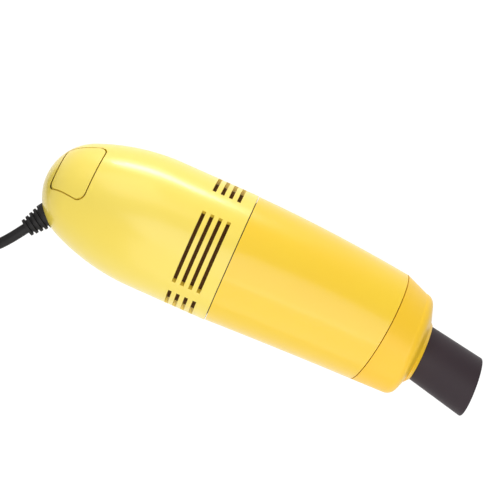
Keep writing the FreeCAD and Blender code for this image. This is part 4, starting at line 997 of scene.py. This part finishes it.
def make_lead():
    """The whole lead as one smooth curve, round in section."""
    route = np.concatenate([LEAD_ROUTE, coil_route(), TAIL_ROUTE]) * MM
    curve = bpy.data.curves.new("lead", "CURVE")
    curve.dimensions = "3D"
    curve.resolution_u = 4
    curve.bevel_depth = LEAD_DIAMETER / 2
    curve.bevel_resolution = 6
    curve.use_fill_caps = True
    spline = curve.splines.new("NURBS")
    spline.points.add(len(route) - 1)
    weighted = np.concatenate([route, np.ones((len(route), 1))], axis=1)
    spline.points.foreach_set("co", weighted.reshape(-1))
    spline.order_u = 3
    spline.use_endpoint_u = True
    curve.materials.append(cord_rubber)
    lead = bpy.data.objects.new("lead", curve)
    bpy.context.scene.collection.objects.link(lead)
    return lead


lead = make_lead()
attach(lead, "housing")
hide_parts("cord_lead", "cord_coil", "cord_tail")


# ---------------------------------------------------------------------------------------------
# Plug
# A folded shell of plated sheet steel over a white moulded tongue, in which four brass contacts
# are set. Shell and tongue are held by the boot moulded over their ends.
plug_steel = worked_metal(
    "plug_steel", (0.52, 0.52, 0.54), roughness=0.30, lines=3500.0, contrast=0.12
)
finish_nodes(plug_steel, "plug_shell")
tongue_plastic, _ = moulded(
    "tongue_plastic", (0.74, 0.74, 0.72), (0.68, 0.68, 0.65), roughness=0.4, grain=4e-6
)
finish_nodes(tongue_plastic, "plug_tongue")


# ---------------------------------------------------------------------------------------------
# Camera, lamps and floor
# The camera looks straight down on the vacuum, turned so that the body lies across the picture
# from the upper left to the lower right. A sheet of white paper serves as the floor.
VIEW_OVER = (-7.13 * MM, 4.8 * MM, 522.0 * MM)
VIEW_RIGHT = (0.9135, 0.4067)
SENSOR_WIDTH = 36.0
LENS_LENGTH = 110.43
LAMP_AIM = (0.0, 0.0, 0.02)
FLOOR_HALF = 1.6
PAPER_WHITE = (0.93, 0.93, 0.93, 1.0)
WORLD_LIGHT = 0.36
BACKGROUND_SHARE = 0.80
BACKGROUND_GLOW = 1.15

camera_data = bpy.data.cameras.new("camera")
camera_data.lens = LENS_LENGTH
camera_data.sensor_width = SENSOR_WIDTH
camera = bpy.data.objects.new("camera", camera_data)
camera.location = VIEW_OVER
camera.rotation_euler = (0.0, 0.0, math.atan2(VIEW_RIGHT[1], VIEW_RIGHT[0]))
bpy.context.scene.collection.objects.link(camera)
bpy.context.scene.camera = camera
bpy.context.scene.view_settings.view_transform = "Standard"


def softbox(name, place, width, height, watts):
    """A rectangular area lamp at that place, in metres, aimed at the middle of the body."""
    data = bpy.data.lights.new(name, "AREA")
    data.shape = "RECTANGLE"
    data.size = width
    data.size_y = height
    data.energy = watts
    lamp = bpy.data.objects.new(name, data)
    lamp.location = place
    aim = np.array(LAMP_AIM) - np.array(place)
    lamp.rotation_euler = (
        math.acos(-aim[2] / np.linalg.norm(aim)),
        0.0,
        math.atan2(aim[1], aim[0]) - math.pi / 2,
    )
    bpy.context.scene.collection.objects.link(lamp)


softbox("window_light", (-0.45, 0.70, 0.75), width=0.7, height=0.7, watts=2.0)
softbox("overhead_light", (0.15, -0.20, 1.08), width=0.9, height=0.9, watts=4.75)
softbox("fill_light", (0.35, -0.85, 0.55), width=1.2, height=1.2, watts=5.1)
softbox("edge_light", (-0.17, 0.50, 0.045), width=0.28, height=0.08, watts=1.3)


def eye_ray(tree):
    """1 for a ray from the camera, or one seen in a reflection or through glass; else 0."""
    path = tree.nodes.new("ShaderNodeLightPath")
    seen = path.outputs["Is Camera Ray"]
    for other in ("Is Glossy Ray", "Is Transmission Ray"):
        seen = calculate(tree, "MAXIMUM", seen, path.outputs[other])
    return seen


def make_world():
    """White all round: full white where it is seen, less where it lights."""
    world = bpy.data.worlds.new("studio")
    world.use_nodes = True
    bpy.context.scene.world = world
    tree = world.node_tree
    tree.nodes.clear()
    output = tree.nodes.new("ShaderNodeOutputWorld")
    lit = tree.nodes.new("ShaderNodeBackground")
    lit.inputs["Color"].default_value = (1.0, 1.0, 1.0, 1.0)
    lit.inputs["Strength"].default_value = WORLD_LIGHT
    seen = tree.nodes.new("ShaderNodeBackground")
    seen.inputs["Color"].default_value = (1.0, 1.0, 1.0, 1.0)
    mix = tree.nodes.new("ShaderNodeMixShader")
    tree.links.new(eye_ray(tree), mix.inputs["Fac"])
    tree.links.new(lit.outputs[0], mix.inputs[1])
    tree.links.new(seen.outputs[0], mix.inputs[2])
    tree.links.new(mix.outputs[0], output.inputs["Surface"])


def make_floor():
    """A flat sheet of paper that looks all but plain white, with a faint shadow on it."""
    mesh = bpy.data.meshes.new("floor")
    corners = np.array([(-1, -1, 0), (1, -1, 0), (1, 1, 0), (-1, 1, 0)]) * FLOOR_HALF
    mesh.from_pydata(corners.tolist(), [], [(0, 1, 2, 3)])
    floor = bpy.data.objects.new("floor", mesh)
    bpy.context.scene.collection.objects.link(floor)
    paper = bpy.data.materials.new("paper")
    paper.use_nodes = True
    tree = paper.node_tree
    tree.nodes.clear()
    output = tree.nodes.new("ShaderNodeOutputMaterial")
    matt = tree.nodes.new("ShaderNodeBsdfDiffuse")
    matt.inputs["Color"].default_value = PAPER_WHITE
    glow = tree.nodes.new("ShaderNodeEmission")
    glow.inputs["Strength"].default_value = BACKGROUND_GLOW
    mix = tree.nodes.new("ShaderNodeMixShader")
    share = calculate(tree, "MULTIPLY", eye_ray(tree), BACKGROUND_SHARE)
    tree.links.new(share, mix.inputs["Fac"])
    tree.links.new(matt.outputs[0], mix.inputs[1])
    tree.links.new(glow.outputs[0], mix.inputs[2])
    tree.links.new(mix.outputs[0], output.inputs["Surface"])
    mesh.materials.append(paper)


make_world()
make_floor()
